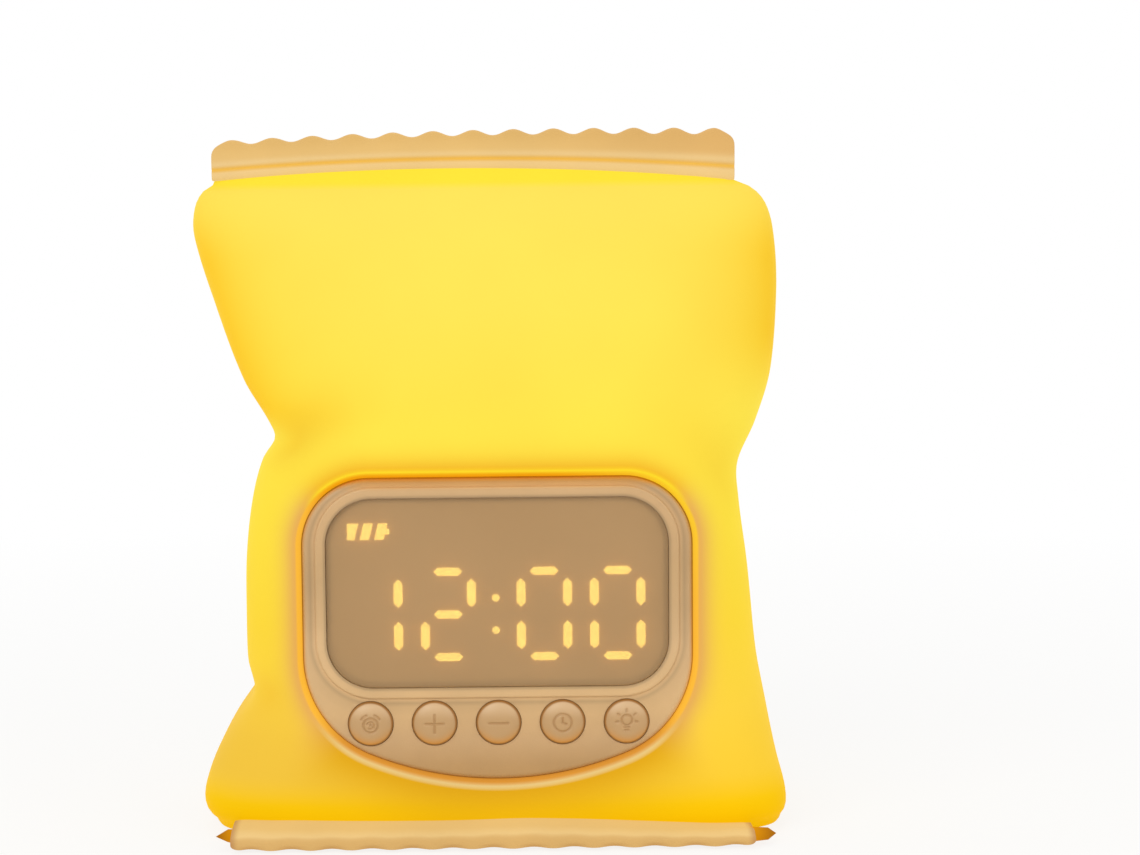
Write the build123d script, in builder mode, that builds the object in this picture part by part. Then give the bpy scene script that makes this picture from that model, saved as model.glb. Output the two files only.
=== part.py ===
from build123d import *

import math
import os

# Kids alarm clock with night light: a pillow-shaped silicone bag that glows, a clock module in its
# front, a hard base under it and a crimped strip along its top and bottom edges.
# Millimetres. +Z is up, the clock faces -Y, and the origin is under the middle of the body on the table.

# ---- Driving dimensions ---------------------------------------------------------------------------

# Silicone bag
bag_base = 2.6              # underside of the bag above the table
bag_top = 148.5             # where the body of the bag ends and its neck begins
bag_left_reach = 68.8       # furthest reach to the left of the origin
bag_right_reach = 67.9      # furthest reach to the right of the origin
bag_back = 42.4             # furthest reach to the back
bag_depth = 78.8
bag_wall = 2.4
bag_cavity_share = 0.975    # of the bag's height, where its hollow ends
bag_lip_width = 6.5         # width of the lip that turns in under the base
neck_thickness = 5.0
neck_overlap = 2.0          # foot of the neck inside the body of the bag
neck_end_gap = 1.0          # neck inside each end of the top strip
tongue_thickness = 2.2
tongue_end_gap = 4.0        # tongue inside each end of the top strip
tongue_reach = 5.0          # how far the top tongue runs up into its strip
tongue_overlap = 1.0        # foot of the tongue inside the neck
bottom_tongue_thickness = 1.4
bottom_tongue_reach = 6.0
ear_reach = 4.2             # how far the bottom tongue passes each end of its strip

# Crimp strips
strip_thickness = 6.4
strip_bottom_middle = 151.6  # lower edge of the top strip at its middle
strip_bottom_rise = 2.8      # how much higher its middle is than its ends
strip_bottom_lean = -0.5     # how much higher its right end is than its middle, apart from that
strip_top_middle = 160.0
strip_top_rise = 1.1
strip_top_lean = 0.8
scallop_count = 13
scallop_depth = 0.75
bottom_strip_width = 116.9
bottom_strip_length = 10.6
bottom_strip_thickness = 3.6
bottom_strip_slope = 13.0    # degrees down towards the front
bottom_strip_offset = -0.3   # its middle from the middle of the clock module
bottom_scallop_depth = 0.7
bottom_strip_rear = 0.6      # rear of the strip behind the root of its tongue
bottom_strip_inset = 4.4     # root of its tongue behind the front of the bag
bottom_strip_lift = 2.0      # root of its tongue above the underside of the bag
bottom_strip_room = 12.0     # height up to which the strip is shaped to the bag
strip_points = 6             # steps along a plain edge of a strip

# Clock module
panel_offset = 1.65          # middle of the module from the middle of the bag
panel_half_width = 43.4
panel_top = 83.1
panel_bottom = 15.3
panel_top_radius = 15.0
panel_side_radius = 24.0
panel_bottom_radius = 75.0
panel_recess = 1.0           # bezel face behind the front of the bag
panel_cut = 6.0              # how far its opening reaches in behind the bag's wall
bezel_edge_radius = 1.2
plate_thickness = 2.6
skirt_wall = 1.4
skirt_depth = 8.0
flange_width = 3.5
flange_thickness = 1.6
window_width = 76.5
window_height = 42.8
window_radius = 10.5
window_centre_z = 57.6
bead_width = 2.4
bead_height = 0.6
bead_round = 0.54
lens_thickness = 1.2
lens_recess = 0.4            # lens face behind the bezel face
lens_ledge = 1.2
block_margin = 0.5
segment_thickness = 0.4
board_thickness = 1.6
block_depth = 6.9
board_edge_gap = 0.4
case_depth = 11.9
case_wall = 1.8
case_post_radius = 2.6
bezel_post_radius = 2.4
bezel_post_floor = 0.6       # left between the end of a pilot hole and the bezel's plate
case_post_x = 39.2
case_post_z = (46.0, 66.0)
case_screw_seat = 5.0        # head seat in front of the rear of the case
case_screw_length = 11.0

# Digits
digit_height_pitch = 9.65    # between neighbouring horizontal segments
digit_width_pitch = 10.4     # between the two columns of upright segments
segment_length = 6.4
segment_width = 1.8
upright_width = 2.0
digit_centre_z = 52.45
digit_centres_x = (-27.4, -11.0, 10.5, 26.9)
colon_x = -0.35
colon_radius = 0.84
colon_pitch = 7.3
battery_mark_x = -29.1
battery_mark_z = 71.3
battery_mark_height = 3.7
battery_bar_width = 2.1
battery_bar_pitch = 3.25
battery_bar_slant = 0.9
battery_nub_width = 1.0

# Buttons
button_pitch = 14.33
button_z = 28.2
button_radius = 4.75
button_hole_gap = 0.4
button_dome = 1.2
button_proud = 0.5           # edge of a cap in front of the bezel face
button_flange_radius = 5.8
button_flange_thickness = 1.3
button_stem_radius = 1.6
button_travel = 0.6
icon_floor = 0.7            # floor of an icon behind the tip of its cap
icon_share = 0.56            # of the cap's radius
icon_line = 0.5
icon_bar = 0.8
minute_hand = 0.6            # shares of the clock icon's radius
hour_hand = 0.5
alarm_ring = 0.8             # shares of the icon's radius
bell_offset = 0.95
bell_length = 0.7
alarm_foot_offset = 0.85
alarm_foot_length = 0.5
bulb_share = 0.5
ray_share = 0.6
ray_count = 5
plunger_radius = 1.6
plunger_length = 1.9
plunger_proud = 1.0
switch_size = 6.0
switch_height = 3.1

# Base
foot_radius = 5.0
foot_proud = 0.9
foot_recess = 0.8
foot_inset = 23.2            # from the furthest reach of the bag on each side
foot_y = 22.0                # from the middle plane of the bag
cover_thickness = 1.6
cover_inset = 2.0            # edge of the base cover inside the edge of the bag's underside
cover_rim_wall = 2.0
tray_floor = 2.0
tray_rim_height = 3.0
tray_rim_wall = 1.8
base_screw_inset = 42.2      # from the furthest reach of the bag on each side
base_screw_y = 21.5          # from the middle plane of the bag
base_boss_radius = 3.5
base_boss_height = 3.7
base_boss_cap = 0.8          # left above the pilot hole

# Lamp
post_offset = 3.0            # behind the middle plane of the bag
post_height = 87.0           # from the tray floor to the light board
post_radius = 6.0
post_bore = 4.0
post_foot_radius = 13.0
post_foot_thickness = 2.0
lamp_radius = 26.0
lamp_plate = 2.0
light_board_radius = 22.0
light_chip_size = 5.0
light_chip_height = 1.6
light_chip_count = 8
light_chip_ring = 14.0
diffuser_wall = 1.6
diffuser_side = 8.0
diffuser_crown = 14.0
post_slot_height = 10.1      # above the post's foot plane
post_slot_radius = 2.5

# Battery
battery_radius = 9.15
battery_length = 65.0
battery_offset = -12.75      # middle of the cell from the middle of the bag
battery_rear_offset = 21.6   # axis of the cell behind the middle plane of the bag
battery_edge_radius = 0.8
battery_lift = 4.95          # under the cell, above the tray floor
cradle_width = 4.0
cradle_offset = 4.0          # from each end of the cell to its cradle rib
cradle_height = 10.0
cradle_half_span = 9.4
clip_width = 9.0
clip_thickness = 1.6
clip_x = -17.6
clip_tab = 5.0

# Speaker
speaker_clip_offset = 17.8   # middle of the speaker from the middle of the battery clip
speaker_offset = -3.9        # from the middle plane of the bag
speaker_radius = 16.0
speaker_height = 7.1
magnet_radius = 9.0
magnet_height = 5.5
magnet_chamfer = 0.5
speaker_seat = 2.0           # width of the ledge under its rim
speaker_rim = 1.0
basket_plate = 1.0
basket_gap = 0.6             # edge of the basket's plate outside the magnet
basket_wall = 1.2
cone_gap = 0.2
cone_rim = 1.4
cone_thickness = 0.6
cone_drop = 1.4              # middle of the cone below the top of the basket
coil_radius = 4.6
terminal_width = 6.0
terminal_length = 2.4
terminal_height = 3.0
terminal_inset = 2.2         # from the rear edge of the rim
grille_hole_radius = 1.0
grille_rings = 4
grille_pitch = 3.0

# Charging board and port
charge_offset = 35.15        # from the middle of the bag
charge_width = 22.0
charge_length = 24.0
charge_back_gap = 5.4        # board edge in front of the outside of the bag
charge_lift = 5.1            # under the board, above the tray floor
standoff_radius = 2.2
usb_width = 8.94
usb_height = 3.26
usb_length = 7.35
usb_wall = 0.3
usb_set_back = 0.8           # mouth of the shell inside the outside of the bag
usb_tongue_width = 6.7
usb_tongue_height = 0.7
usb_tongue_set_back = 1.0
port_wall = 1.4
port_gap = 0.3
port_cut = 8.0               # how far its opening reaches in from the back of the bag
port_flange = 1.5
port_flange_thickness = 1.2
port_flange_gap = 1.1        # flange to the curved inside of the bag

# Bracket between the clock module and the base
bracket_half_width = 16.0
bracket_thickness = 2.0
bracket_height = 35.0
bracket_foot = 6.0
bracket_screw_x = 10.0
bracket_screw_z = 32.0

# Screws
screw_head_height = 1.4
tray_screw_length = 6.0
bracket_screw_length = 6.0
board_screw_length = 5.0
tray_boss_radius = 2.4
tray_boss_depth = 2.0
post_screw_ring = 9.6
light_screw_ring = 19.0
small_screw_radius = 1.0
small_head_radius = 1.9
base_screw_radius = 1.35
base_head_radius = 2.5
base_head_height = 1.8
screw_drive_radius = 0.7

# Leads
lead_radius = 0.6
lead_pitch = 1.6
lead_bend = 2.4
clock_lead_offset = -1.0     # from the middle of the charging board
clock_lead_z = 46.0
speaker_lead_z = 34.0
charge_lead_y = 17.0
light_lead_offset = 7.0      # from the middle of the charging board
light_lead_reach = 7.0       # from its front edge
case_slot_width = 6.4
case_slot_height = 4.0

# Clearances
soft_gap = 0.3               # silicone to a hard piece
fit_gap = 0.1                # between two hard pieces that sit in each other
screw_hole_gap = 0.2
pilot_gap = 0.02
cut_over = 1.0               # how far a cut passes the surface that it opens

# ---- Shape of the bag -----------------------------------------------------------------------------

# Each profile gives (share of the bag's height, share of the full reach). The left edge is creased low
# down and pinched at its waist, the right edge only at its waist.
left_profile = (
    (0.000, 0.947), (0.016, 0.973), (0.036, 0.982), (0.062, 0.972), (0.095, 0.945), (0.135, 0.898),
    (0.172, 0.843), (0.192, 0.814), (0.212, 0.805), (0.232, 0.814), (0.258, 0.827), (0.330, 0.829),
    (0.420, 0.822), (0.515, 0.798), (0.570, 0.768), (0.602, 0.728), (0.630, 0.749), (0.695, 0.830),
    (0.835, 0.941), (0.890, 0.980), (0.931, 0.999), (0.965, 0.992), (0.988, 0.969), (1.000, 0.933),
)
right_profile = (
    (0.000, 0.986), (0.016, 1.000), (0.044, 0.997), (0.095, 0.972), (0.180, 0.934), (0.270, 0.895),
    (0.410, 0.865), (0.505, 0.839), (0.560, 0.837), (0.625, 0.900), (0.705, 0.959), (0.825, 0.985),
    (0.925, 0.973), (0.965, 0.948), (0.988, 0.904), (1.000, 0.845),
)
depth_profile = (
    (0.000, 0.860), (0.016, 0.945), (0.044, 0.982), (0.120, 0.995), (0.350, 1.000), (0.520, 0.995),
    (0.600, 0.970), (0.680, 0.912), (0.780, 0.800), (0.860, 0.650), (0.920, 0.490), (0.962, 0.330),
    (0.986, 0.195), (1.000, 0.100),
)
squareness_profile = ((0.000, 4.6), (0.500, 4.8), (0.650, 3.8), (0.850, 2.9), (1.000, 4.0))
section_shares = tuple(share for share, _ in left_profile) + (0.375, 0.468, 0.662, 0.74, 0.787)
section_points = 32
section_gap = 0.8

bag_height = bag_top - bag_base
bag_middle_x = (bag_right_reach - bag_left_reach) / 2
bag_middle_y = bag_back - bag_depth / 2
bag_front = bag_back - bag_depth


def along(profile, share):
    """Value at a share of the height on the smooth curve through a profile's points."""
    last = len(profile) - 1
    index = 0
    while index < last - 1 and profile[index + 1][0] < share:
        index += 1

    def slope(i):
        low, high = profile[max(i - 1, 0)], profile[min(i + 1, last)]
        return (high[1] - low[1]) / (high[0] - low[0])

    (s0, v0), (s1, v1) = profile[index], profile[index + 1]
    span = s1 - s0
    t = (share - s0) / span
    return (
        (2 * t**3 - 3 * t**2 + 1) * v0
        + (t**3 - 2 * t**2 + t) * span * slope(index)
        + (3 * t**2 - 2 * t**3) * v1
        + (t**3 - t**2) * span * slope(index + 1)
    )


def bag_share(height):
    """Share of the bag's height at a height above the table."""
    return (height - bag_base) / bag_height


def bag_section(height, inset=0.0):
    """Rounded outline of the bag at a height, moved inward by an inset."""
    share = bag_share(height)
    left = bag_left_reach * along(left_profile, share) - inset
    right = bag_right_reach * along(right_profile, share) - inset
    half_depth = bag_depth / 2 * along(depth_profile, share) - inset
    power = 2 / along(squareness_profile, share)
    points = []
    for step in range(section_points):
        turn = 2 * math.pi * step / section_points
        across, deep = math.cos(turn), math.sin(turn)
        x = math.copysign(abs(across) ** power, across) * (left + right) / 2 + (right - left) / 2
        y = math.copysign(abs(deep) ** power, deep) * half_depth + bag_middle_y
        points.append((x, y))
    with BuildSketch() as section:
        with BuildLine():
            Spline(*points, periodic=True)
        make_face()
    return section.sketch


def bag_heights(low, high):
    """Heights of the sections between two heights, both ends included."""
    inner = [bag_base + share * bag_height for share in section_shares]
    return [low] + sorted(h for h in inner if low + section_gap < h < high - section_gap) + [high]


# ---- Levels and planes ----------------------------------------------------------------------------


def bag_back_at(x, height, inset=0.0):
    """Depth of the bag's back at a place across and a height, moved inward by an inset."""
    share = bag_share(height)
    left = bag_left_reach * along(left_profile, share) - inset
    right = bag_right_reach * along(right_profile, share) - inset
    half_depth = bag_depth / 2 * along(depth_profile, share) - inset
    power = along(squareness_profile, share)
    across = abs(x - (right - left) / 2) / ((left + right) / 2)
    return bag_middle_y + half_depth * (1 - across**power) ** (1 / power)


lip_top = bag_base + bag_wall
tray_bottom = lip_top + fit_gap
tray_top = tray_bottom + tray_floor
cover_bottom = foot_proud
cover_top = cover_bottom + cover_thickness
panel_centre_x = bag_middle_x + panel_offset
bezel_face = bag_front + panel_recess
plate_rear = bezel_face + plate_thickness
skirt_rear = bezel_face + skirt_depth
lens_front = bezel_face + lens_recess
lens_rear = lens_front + lens_thickness
segment_front = lens_rear + fit_gap
block_front = segment_front + segment_thickness
board_front = block_front + block_depth
board_rear = board_front + board_thickness
case_rear = skirt_rear + case_depth
bracket_rear = case_rear + bracket_thickness
flange_front = skirt_rear - flange_thickness
switch_front = board_front - switch_height
plunger_tip = switch_front - plunger_proud
charge_x = bag_middle_x + charge_offset
charge_bottom = tray_top + charge_lift
charge_top = charge_bottom + board_thickness
usb_z = charge_top + usb_height / 2
port_face = bag_back_at(charge_x, usb_z)
charge_back = port_face - charge_back_gap
charge_front = charge_back - charge_length
usb_mouth = port_face - usb_set_back
battery_left = bag_middle_x + battery_offset - battery_length / 2
battery_right = battery_left + battery_length
battery_y = bag_middle_y + battery_rear_offset
battery_z = tray_top + battery_lift + battery_radius
speaker_x = clip_x - speaker_clip_offset
speaker_y = bag_middle_y + speaker_offset
post_y = bag_middle_y + post_offset
clock_lead_x = charge_x + clock_lead_offset
light_board_bottom = tray_top + post_height
light_board_top = light_board_bottom + board_thickness
button_places = {
    "alarm": -2 * button_pitch,
    "plus": -button_pitch,
    "minus": 0.0,
    "clock": button_pitch,
    "light": 2 * button_pitch,
}


def front_plane(y):
    """Plane that faces the front at a depth, centred on the clock module, with its own y as height."""
    return Plane(origin=(panel_centre_x, y, 0), x_dir=(1, 0, 0), z_dir=(0, -1, 0))


os.makedirs("parts", exist_ok=True)


def save(piece, name):
    """Label a finished piece and write it as its own STEP file."""
    piece.label = name
    export_step(piece, f"parts/{name}.step")


def panel_outline(grow=0.0):
    """Outline of the clock's face, grown by an even amount."""
    half = panel_half_width + grow
    top = panel_top + grow
    top_radius = panel_top_radius + grow
    side_radius = panel_side_radius + grow
    bottom_radius = panel_bottom_radius + grow
    side_x = panel_half_width - panel_side_radius
    reach = panel_bottom_radius - panel_side_radius
    bottom_centre_z = panel_bottom + panel_bottom_radius
    side_z = bottom_centre_z - math.sqrt(reach**2 - side_x**2)
    lean = math.asin(side_x / reach)
    join = (bottom_radius * math.sin(lean), bottom_centre_z - bottom_radius * math.cos(lean))
    middle = math.pi / 4 - lean / 2
    belly = (side_x + side_radius * math.cos(middle), side_z - side_radius * math.sin(middle))
    shoulder_z = top - top_radius
    shoulder_x = half - top_radius
    bow = top_radius * math.sqrt(0.5)
    with BuildSketch() as outline:
        with BuildLine():
            Line((-shoulder_x, top), (shoulder_x, top))
            ThreePointArc((shoulder_x, top), (shoulder_x + bow, shoulder_z + bow), (half, shoulder_z))
            Line((half, shoulder_z), (half, side_z))
            ThreePointArc((half, side_z), belly, join)
            ThreePointArc(join, (0, bottom_centre_z - bottom_radius), (-join[0], join[1]))
            ThreePointArc((-join[0], join[1]), (-belly[0], belly[1]), (-half, side_z))
            Line((-half, side_z), (-half, shoulder_z))
            ThreePointArc((-half, shoulder_z), (-shoulder_x - bow, shoulder_z + bow), (-shoulder_x, top))
        make_face()
    return outline.sketch


def strip_outline(low, high, end_gap, waves):
    """Arched band along the bag's neck between two height formulas, with scallops on its top edge."""
    left = -bag_left_reach * along(left_profile, 1.0) + end_gap
    right = bag_right_reach * along(right_profile, 1.0) - end_gap
    middle = (left + right) / 2
    half = (right - left) / 2
    count = 2 * scallop_count if waves else strip_points
    tops = []
    for step in range(count + 1):
        share = -1 + 2 * step / count
        wave = (scallop_depth if step % 2 else -scallop_depth) if waves else 0.0
        tops.append((middle + half * share, high(share) + wave))
    shares = [1 - 2 * step / strip_points for step in range(strip_points + 1)]
    bottoms = [(middle + half * share, low(share)) for share in shares]
    with BuildSketch() as outline:
        with BuildLine():
            Spline(*tops)
            Line(tops[-1], bottoms[0])
            Spline(*bottoms)
            Line(bottoms[-1], tops[0])
        make_face()
    return outline.sketch


def strip_low(share):
    """Height of the top strip's lower edge at a share of its half width."""
    return strip_bottom_middle - strip_bottom_rise * share**2 + strip_bottom_lean * share


def strip_high(share):
    """Height of the top strip's mean upper edge at a share of its half width."""
    return strip_top_middle - strip_top_rise * share**2 + strip_top_lean * share


# ---- Silicone bag ---------------------------------------------------------------------------------

cavity_top = bag_base + bag_cavity_share * bag_height
neck_root = bag_top - neck_overlap
slope = math.radians(bottom_strip_slope)
bottom_slope = Plane(
    origin=(
        panel_centre_x + bottom_strip_offset,
        bag_front + bottom_strip_inset,
        bag_base + bottom_strip_lift,
    ),
    x_dir=(1, 0, 0),
    z_dir=(0, -math.sin(slope), math.cos(slope)),
)
port_half_width = usb_width / 2 + port_gap + port_wall
port_half_height = usb_height / 2 + port_gap + port_wall


def port_plane(y):
    """Plane that faces the back, centred on the charging port."""
    return Plane(origin=(charge_x, y, usb_z), x_dir=(-1, 0, 0), z_dir=(0, 1, 0))


def neck_plane(thickness):
    """Front face of a slab of a thickness that stands in the middle plane of the bag."""
    return Plane.XZ.offset(thickness / 2 - bag_middle_y)


with BuildPart() as bag_cavity:
    for height in bag_heights(lip_top, cavity_top):
        with BuildSketch(Plane.XY.offset(height)):
            add(bag_section(height, bag_wall))
    loft()

with BuildPart() as silicone_bag:
    for height in bag_heights(bag_base, bag_top):
        with BuildSketch(Plane.XY.offset(height)):
            add(bag_section(height))
    loft()
    add(bag_cavity.part, mode=Mode.SUBTRACT)
    with BuildSketch(Plane.XY.offset(bag_base - cut_over)):
        add(bag_section(bag_base, bag_lip_width))
    extrude(amount=bag_wall + 2 * cut_over, mode=Mode.SUBTRACT)
    with BuildSketch(front_plane(bag_front + bag_wall + panel_cut)):
        add(panel_outline(soft_gap))
    extrude(amount=bag_wall + panel_cut + 2 * cut_over, mode=Mode.SUBTRACT)
    with BuildSketch(port_plane(port_face - port_cut)):
        SlotOverall(2 * (port_half_width + soft_gap), 2 * (port_half_height + soft_gap))
    extrude(amount=port_cut + 4 * cut_over, mode=Mode.SUBTRACT)
    with BuildSketch(neck_plane(neck_thickness)):
        neck_high = lambda share: strip_low(share) - fit_gap
        add(strip_outline(lambda share: neck_root, neck_high, neck_end_gap, False))
    extrude(amount=-neck_thickness)
    with BuildSketch(neck_plane(tongue_thickness)):
        tongue_low = lambda share: strip_low(share) - tongue_overlap
        tongue_high = lambda share: strip_low(share) + tongue_reach
        add(strip_outline(tongue_low, tongue_high, tongue_end_gap, False))
    extrude(amount=-tongue_thickness)
    with BuildSketch(bottom_slope.offset(-bottom_tongue_thickness / 2)):
        with Locations((0, -bottom_tongue_reach / 2)):
            Rectangle(bottom_strip_width + 2 * ear_reach, bottom_tongue_reach)
    extrude(amount=bottom_tongue_thickness)

save(silicone_bag.part, "silicone_bag")

# ---- Crimp strips ---------------------------------------------------------------------------------

with BuildPart() as top_crimp_strip:
    with BuildSketch(neck_plane(strip_thickness)):
        add(strip_outline(strip_low, strip_high, 0.0, True))
    extrude(amount=-strip_thickness)
    with BuildSketch(neck_plane(tongue_thickness + 2 * fit_gap)):
        slot_low = lambda share: strip_low(share) - cut_over
        slot_high = lambda share: strip_low(share) + tongue_reach + fit_gap
        add(strip_outline(slot_low, slot_high, tongue_end_gap - fit_gap, False))
    extrude(amount=-(tongue_thickness + 2 * fit_gap), mode=Mode.SUBTRACT)

save(top_crimp_strip.part, "top_crimp_strip")

with BuildPart() as bag_foot_space:
    for height in bag_heights(bag_base, bag_base + bottom_strip_room):
        with BuildSketch(Plane.XY.offset(height)):
            add(bag_section(height, -soft_gap))
    loft()

with BuildPart() as bottom_crimp_strip:
    with BuildSketch(bottom_slope.offset(-bottom_strip_thickness / 2)):
        front_edge = []
        for step in range(2 * scallop_count + 1):
            x = bottom_strip_width * (step / (2 * scallop_count) - 0.5)
            wave = -bottom_scallop_depth if step % 2 else bottom_scallop_depth
            front_edge.append((x, -bottom_strip_length + bottom_scallop_depth + wave))
        with BuildLine():
            Spline(*front_edge)
            Polyline(
                front_edge[-1],
                (bottom_strip_width / 2, bottom_strip_rear),
                (-bottom_strip_width / 2, bottom_strip_rear),
                front_edge[0],
            )
        make_face()
    extrude(amount=bottom_strip_thickness)
    with BuildSketch(bottom_slope.offset(-bottom_tongue_thickness / 2 - fit_gap)):
        Rectangle(bottom_strip_width + 2 * cut_over, 2 * (bottom_tongue_reach + fit_gap))
    extrude(amount=bottom_tongue_thickness + 2 * fit_gap, mode=Mode.SUBTRACT)
    add(bag_foot_space.part, mode=Mode.SUBTRACT)

save(bottom_crimp_strip.part, "bottom_crimp_strip")

# ---- Screws and leads -----------------------------------------------------------------------------


def screw(seat, length, radius=small_screw_radius, head=small_head_radius, head_height=screw_head_height):
    """Pan-head screw whose head stands on a plane that faces its driver."""
    with BuildPart() as piece:
        with BuildSketch(seat):
            Circle(head)
        extrude(amount=head_height)
        with BuildSketch(seat):
            Circle(radius)
        extrude(amount=-length)
        chamfer(piece.faces().sort_by(Axis(seat.origin, seat.z_dir))[0].edges(), radius / 3)
        with BuildSketch(seat.offset(head_height)):
            Rectangle(2 * screw_drive_radius, screw_drive_radius / 2)
            Rectangle(screw_drive_radius / 2, 2 * screw_drive_radius)
        extrude(amount=-head_height / 2, mode=Mode.SUBTRACT)
    return piece.part


def lead(route):
    """Insulated wire along straight runs that are joined by tangent arcs."""
    with BuildPart() as wire:
        with BuildLine() as path:
            FilletPolyline(*route, radius=lead_bend)
        with BuildSketch(Plane(origin=path.line @ 0, z_dir=path.line % 0)):
            Circle(lead_radius)
        sweep(path=path.line)
    return wire.part


def level(height, x=0.0, y=0.0):
    """Level plane at a height with its own origin at a place on the base."""
    return Plane(origin=(x, y, height))


def pair(centre):
    """Places of two leads side by side about a centre."""
    return (centre - lead_pitch / 2, centre + lead_pitch / 2)


def end_plane(x):
    """Plane square to the battery's axis."""
    return Plane(origin=(x, battery_y, battery_z), x_dir=(0, 1, 0), z_dir=(1, 0, 0))


# ---- Base -----------------------------------------------------------------------------------------


def four_places(inset, depth):
    """Places at an inset from each side of the bag and at a depth each side of its middle plane."""
    sides = (inset - bag_left_reach, bag_right_reach - inset)
    return [(x, bag_middle_y + y) for x in sides for y in (-depth, depth)]


base_screw_places = four_places(base_screw_inset, base_screw_y)
foot_places = four_places(foot_inset, foot_y)
bracket_foot_y = case_rear - bracket_foot / 2
bracket_places = [(-bracket_screw_x, bracket_foot_y), (bracket_screw_x, bracket_foot_y)]
post_screw_places = [
    (
        post_screw_ring * math.cos(math.radians(turn)),
        post_y + post_screw_ring * math.sin(math.radians(turn)),
    )
    for turn in (60, 180, 300)
]
clip_outer = battery_radius + fit_gap + clip_thickness
clip_tab_y = battery_y - clip_outer - clip_tab / 2
tray_screw_places = bracket_places + post_screw_places + [(clip_x, clip_tab_y)]
standoff_places = [
    (charge_x + x, y)
    for x in (standoff_radius - charge_width / 2, charge_width / 2 - standoff_radius)
    for y in (charge_front + standoff_radius, charge_back - standoff_radius)
]
charge_screw_places = [standoff_places[0], standoff_places[3]]
cradle_xs = (battery_left + cradle_offset, battery_right - cradle_offset)

with BuildPart() as rubber_feet:
    with BuildSketch(Plane.XY):
        with Locations(*foot_places):
            Circle(foot_radius)
    extrude(amount=foot_proud + foot_recess)

save(rubber_feet.part, "rubber_feet")

with BuildPart() as base_cover:
    with BuildSketch(level(cover_bottom)):
        add(bag_section(bag_base, cover_inset))
    extrude(amount=cover_thickness)
    with BuildSketch(level(cover_top)):
        add(bag_section(bag_base, bag_lip_width + soft_gap))
        add(bag_section(bag_base, bag_lip_width + soft_gap + cover_rim_wall), mode=Mode.SUBTRACT)
        with Locations(*base_screw_places):
            Circle(base_head_radius + cover_rim_wall)
    extrude(amount=tray_bottom - cover_top)
    with BuildSketch(level(cover_bottom)):
        with Locations(*foot_places):
            Circle(foot_radius + fit_gap)
    extrude(amount=foot_recess, mode=Mode.SUBTRACT)
    with BuildSketch(level(cover_bottom)):
        with Locations(*base_screw_places):
            Circle(base_head_radius + screw_hole_gap)
    extrude(amount=base_head_height, mode=Mode.SUBTRACT)
    with BuildSketch(level(cover_bottom)):
        with Locations(*base_screw_places):
            Circle(base_screw_radius + screw_hole_gap)
        with Locations((speaker_x, speaker_y)):
            Circle(grille_hole_radius)
            for ring in range(1, grille_rings + 1):
                with PolarLocations(ring * grille_pitch, 6 * ring):
                    Circle(grille_hole_radius)
    extrude(amount=tray_bottom, mode=Mode.SUBTRACT)

save(base_cover.part, "base_cover")

with BuildPart() as base_screws:
    for x, y in base_screw_places:
        seat = Plane(origin=(x, y, cover_bottom + base_head_height), x_dir=(1, 0, 0), z_dir=(0, 0, -1))
        depth = tray_top + base_boss_height - base_boss_cap - screw_hole_gap - seat.origin.Z
        add(screw(seat, depth, base_screw_radius, base_head_radius, base_head_height - screw_hole_gap))

save(base_screws.part, "base_screws")

with BuildPart() as base_tray:
    with BuildSketch(level(tray_bottom)):
        add(bag_section(tray_bottom, bag_wall + soft_gap))
    extrude(amount=tray_floor + tray_rim_height)
    with BuildSketch(level(tray_top)):
        add(bag_section(tray_bottom, bag_wall + soft_gap + tray_rim_wall))
    extrude(amount=tray_rim_height, mode=Mode.SUBTRACT)
    with BuildSketch(level(tray_top)):
        with Locations(*base_screw_places):
            Circle(base_boss_radius)
    extrude(amount=base_boss_height)
    with BuildSketch(level(tray_top)):
        with Locations(*standoff_places):
            Circle(standoff_radius)
    extrude(amount=charge_lift)
    with BuildSketch(level(tray_bottom)):
        with Locations(*tray_screw_places):
            Circle(tray_boss_radius)
    extrude(amount=-tray_boss_depth)
    with BuildSketch(level(tray_top)):
        for x in cradle_xs:
            with Locations((x, battery_y)):
                Rectangle(cradle_width, 2 * cradle_half_span)
    extrude(amount=cradle_height)
    with BuildSketch(end_plane(battery_left - cut_over)):
        Circle(battery_radius + fit_gap)
    extrude(amount=battery_length + 2 * cut_over, mode=Mode.SUBTRACT)
    with BuildSketch(level(tray_bottom)):
        with Locations((speaker_x, speaker_y)):
            Circle(speaker_radius - speaker_seat)
        with Locations(*base_screw_places):
            Circle(base_screw_radius + pilot_gap)
    extrude(amount=tray_floor + base_boss_height - base_boss_cap, mode=Mode.SUBTRACT)
    with BuildSketch(level(tray_bottom - tray_boss_depth)):
        with Locations(*tray_screw_places):
            Circle(small_screw_radius + pilot_gap)
    extrude(amount=tray_floor + tray_boss_depth, mode=Mode.SUBTRACT)
    with BuildSketch(level(charge_bottom)):
        with Locations(*charge_screw_places):
            Circle(small_screw_radius + pilot_gap)
    extrude(amount=-charge_lift, mode=Mode.SUBTRACT)

save(base_tray.part, "base_tray")

# ---- Clock module ---------------------------------------------------------------------------------

case_post_places = [(x, z) for x in (-case_post_x, case_post_x) for z in case_post_z]
board_outline_inset = case_wall + board_edge_gap
hole_width = window_width - 2 * lens_ledge
hole_height = window_height - 2 * lens_ledge

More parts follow.
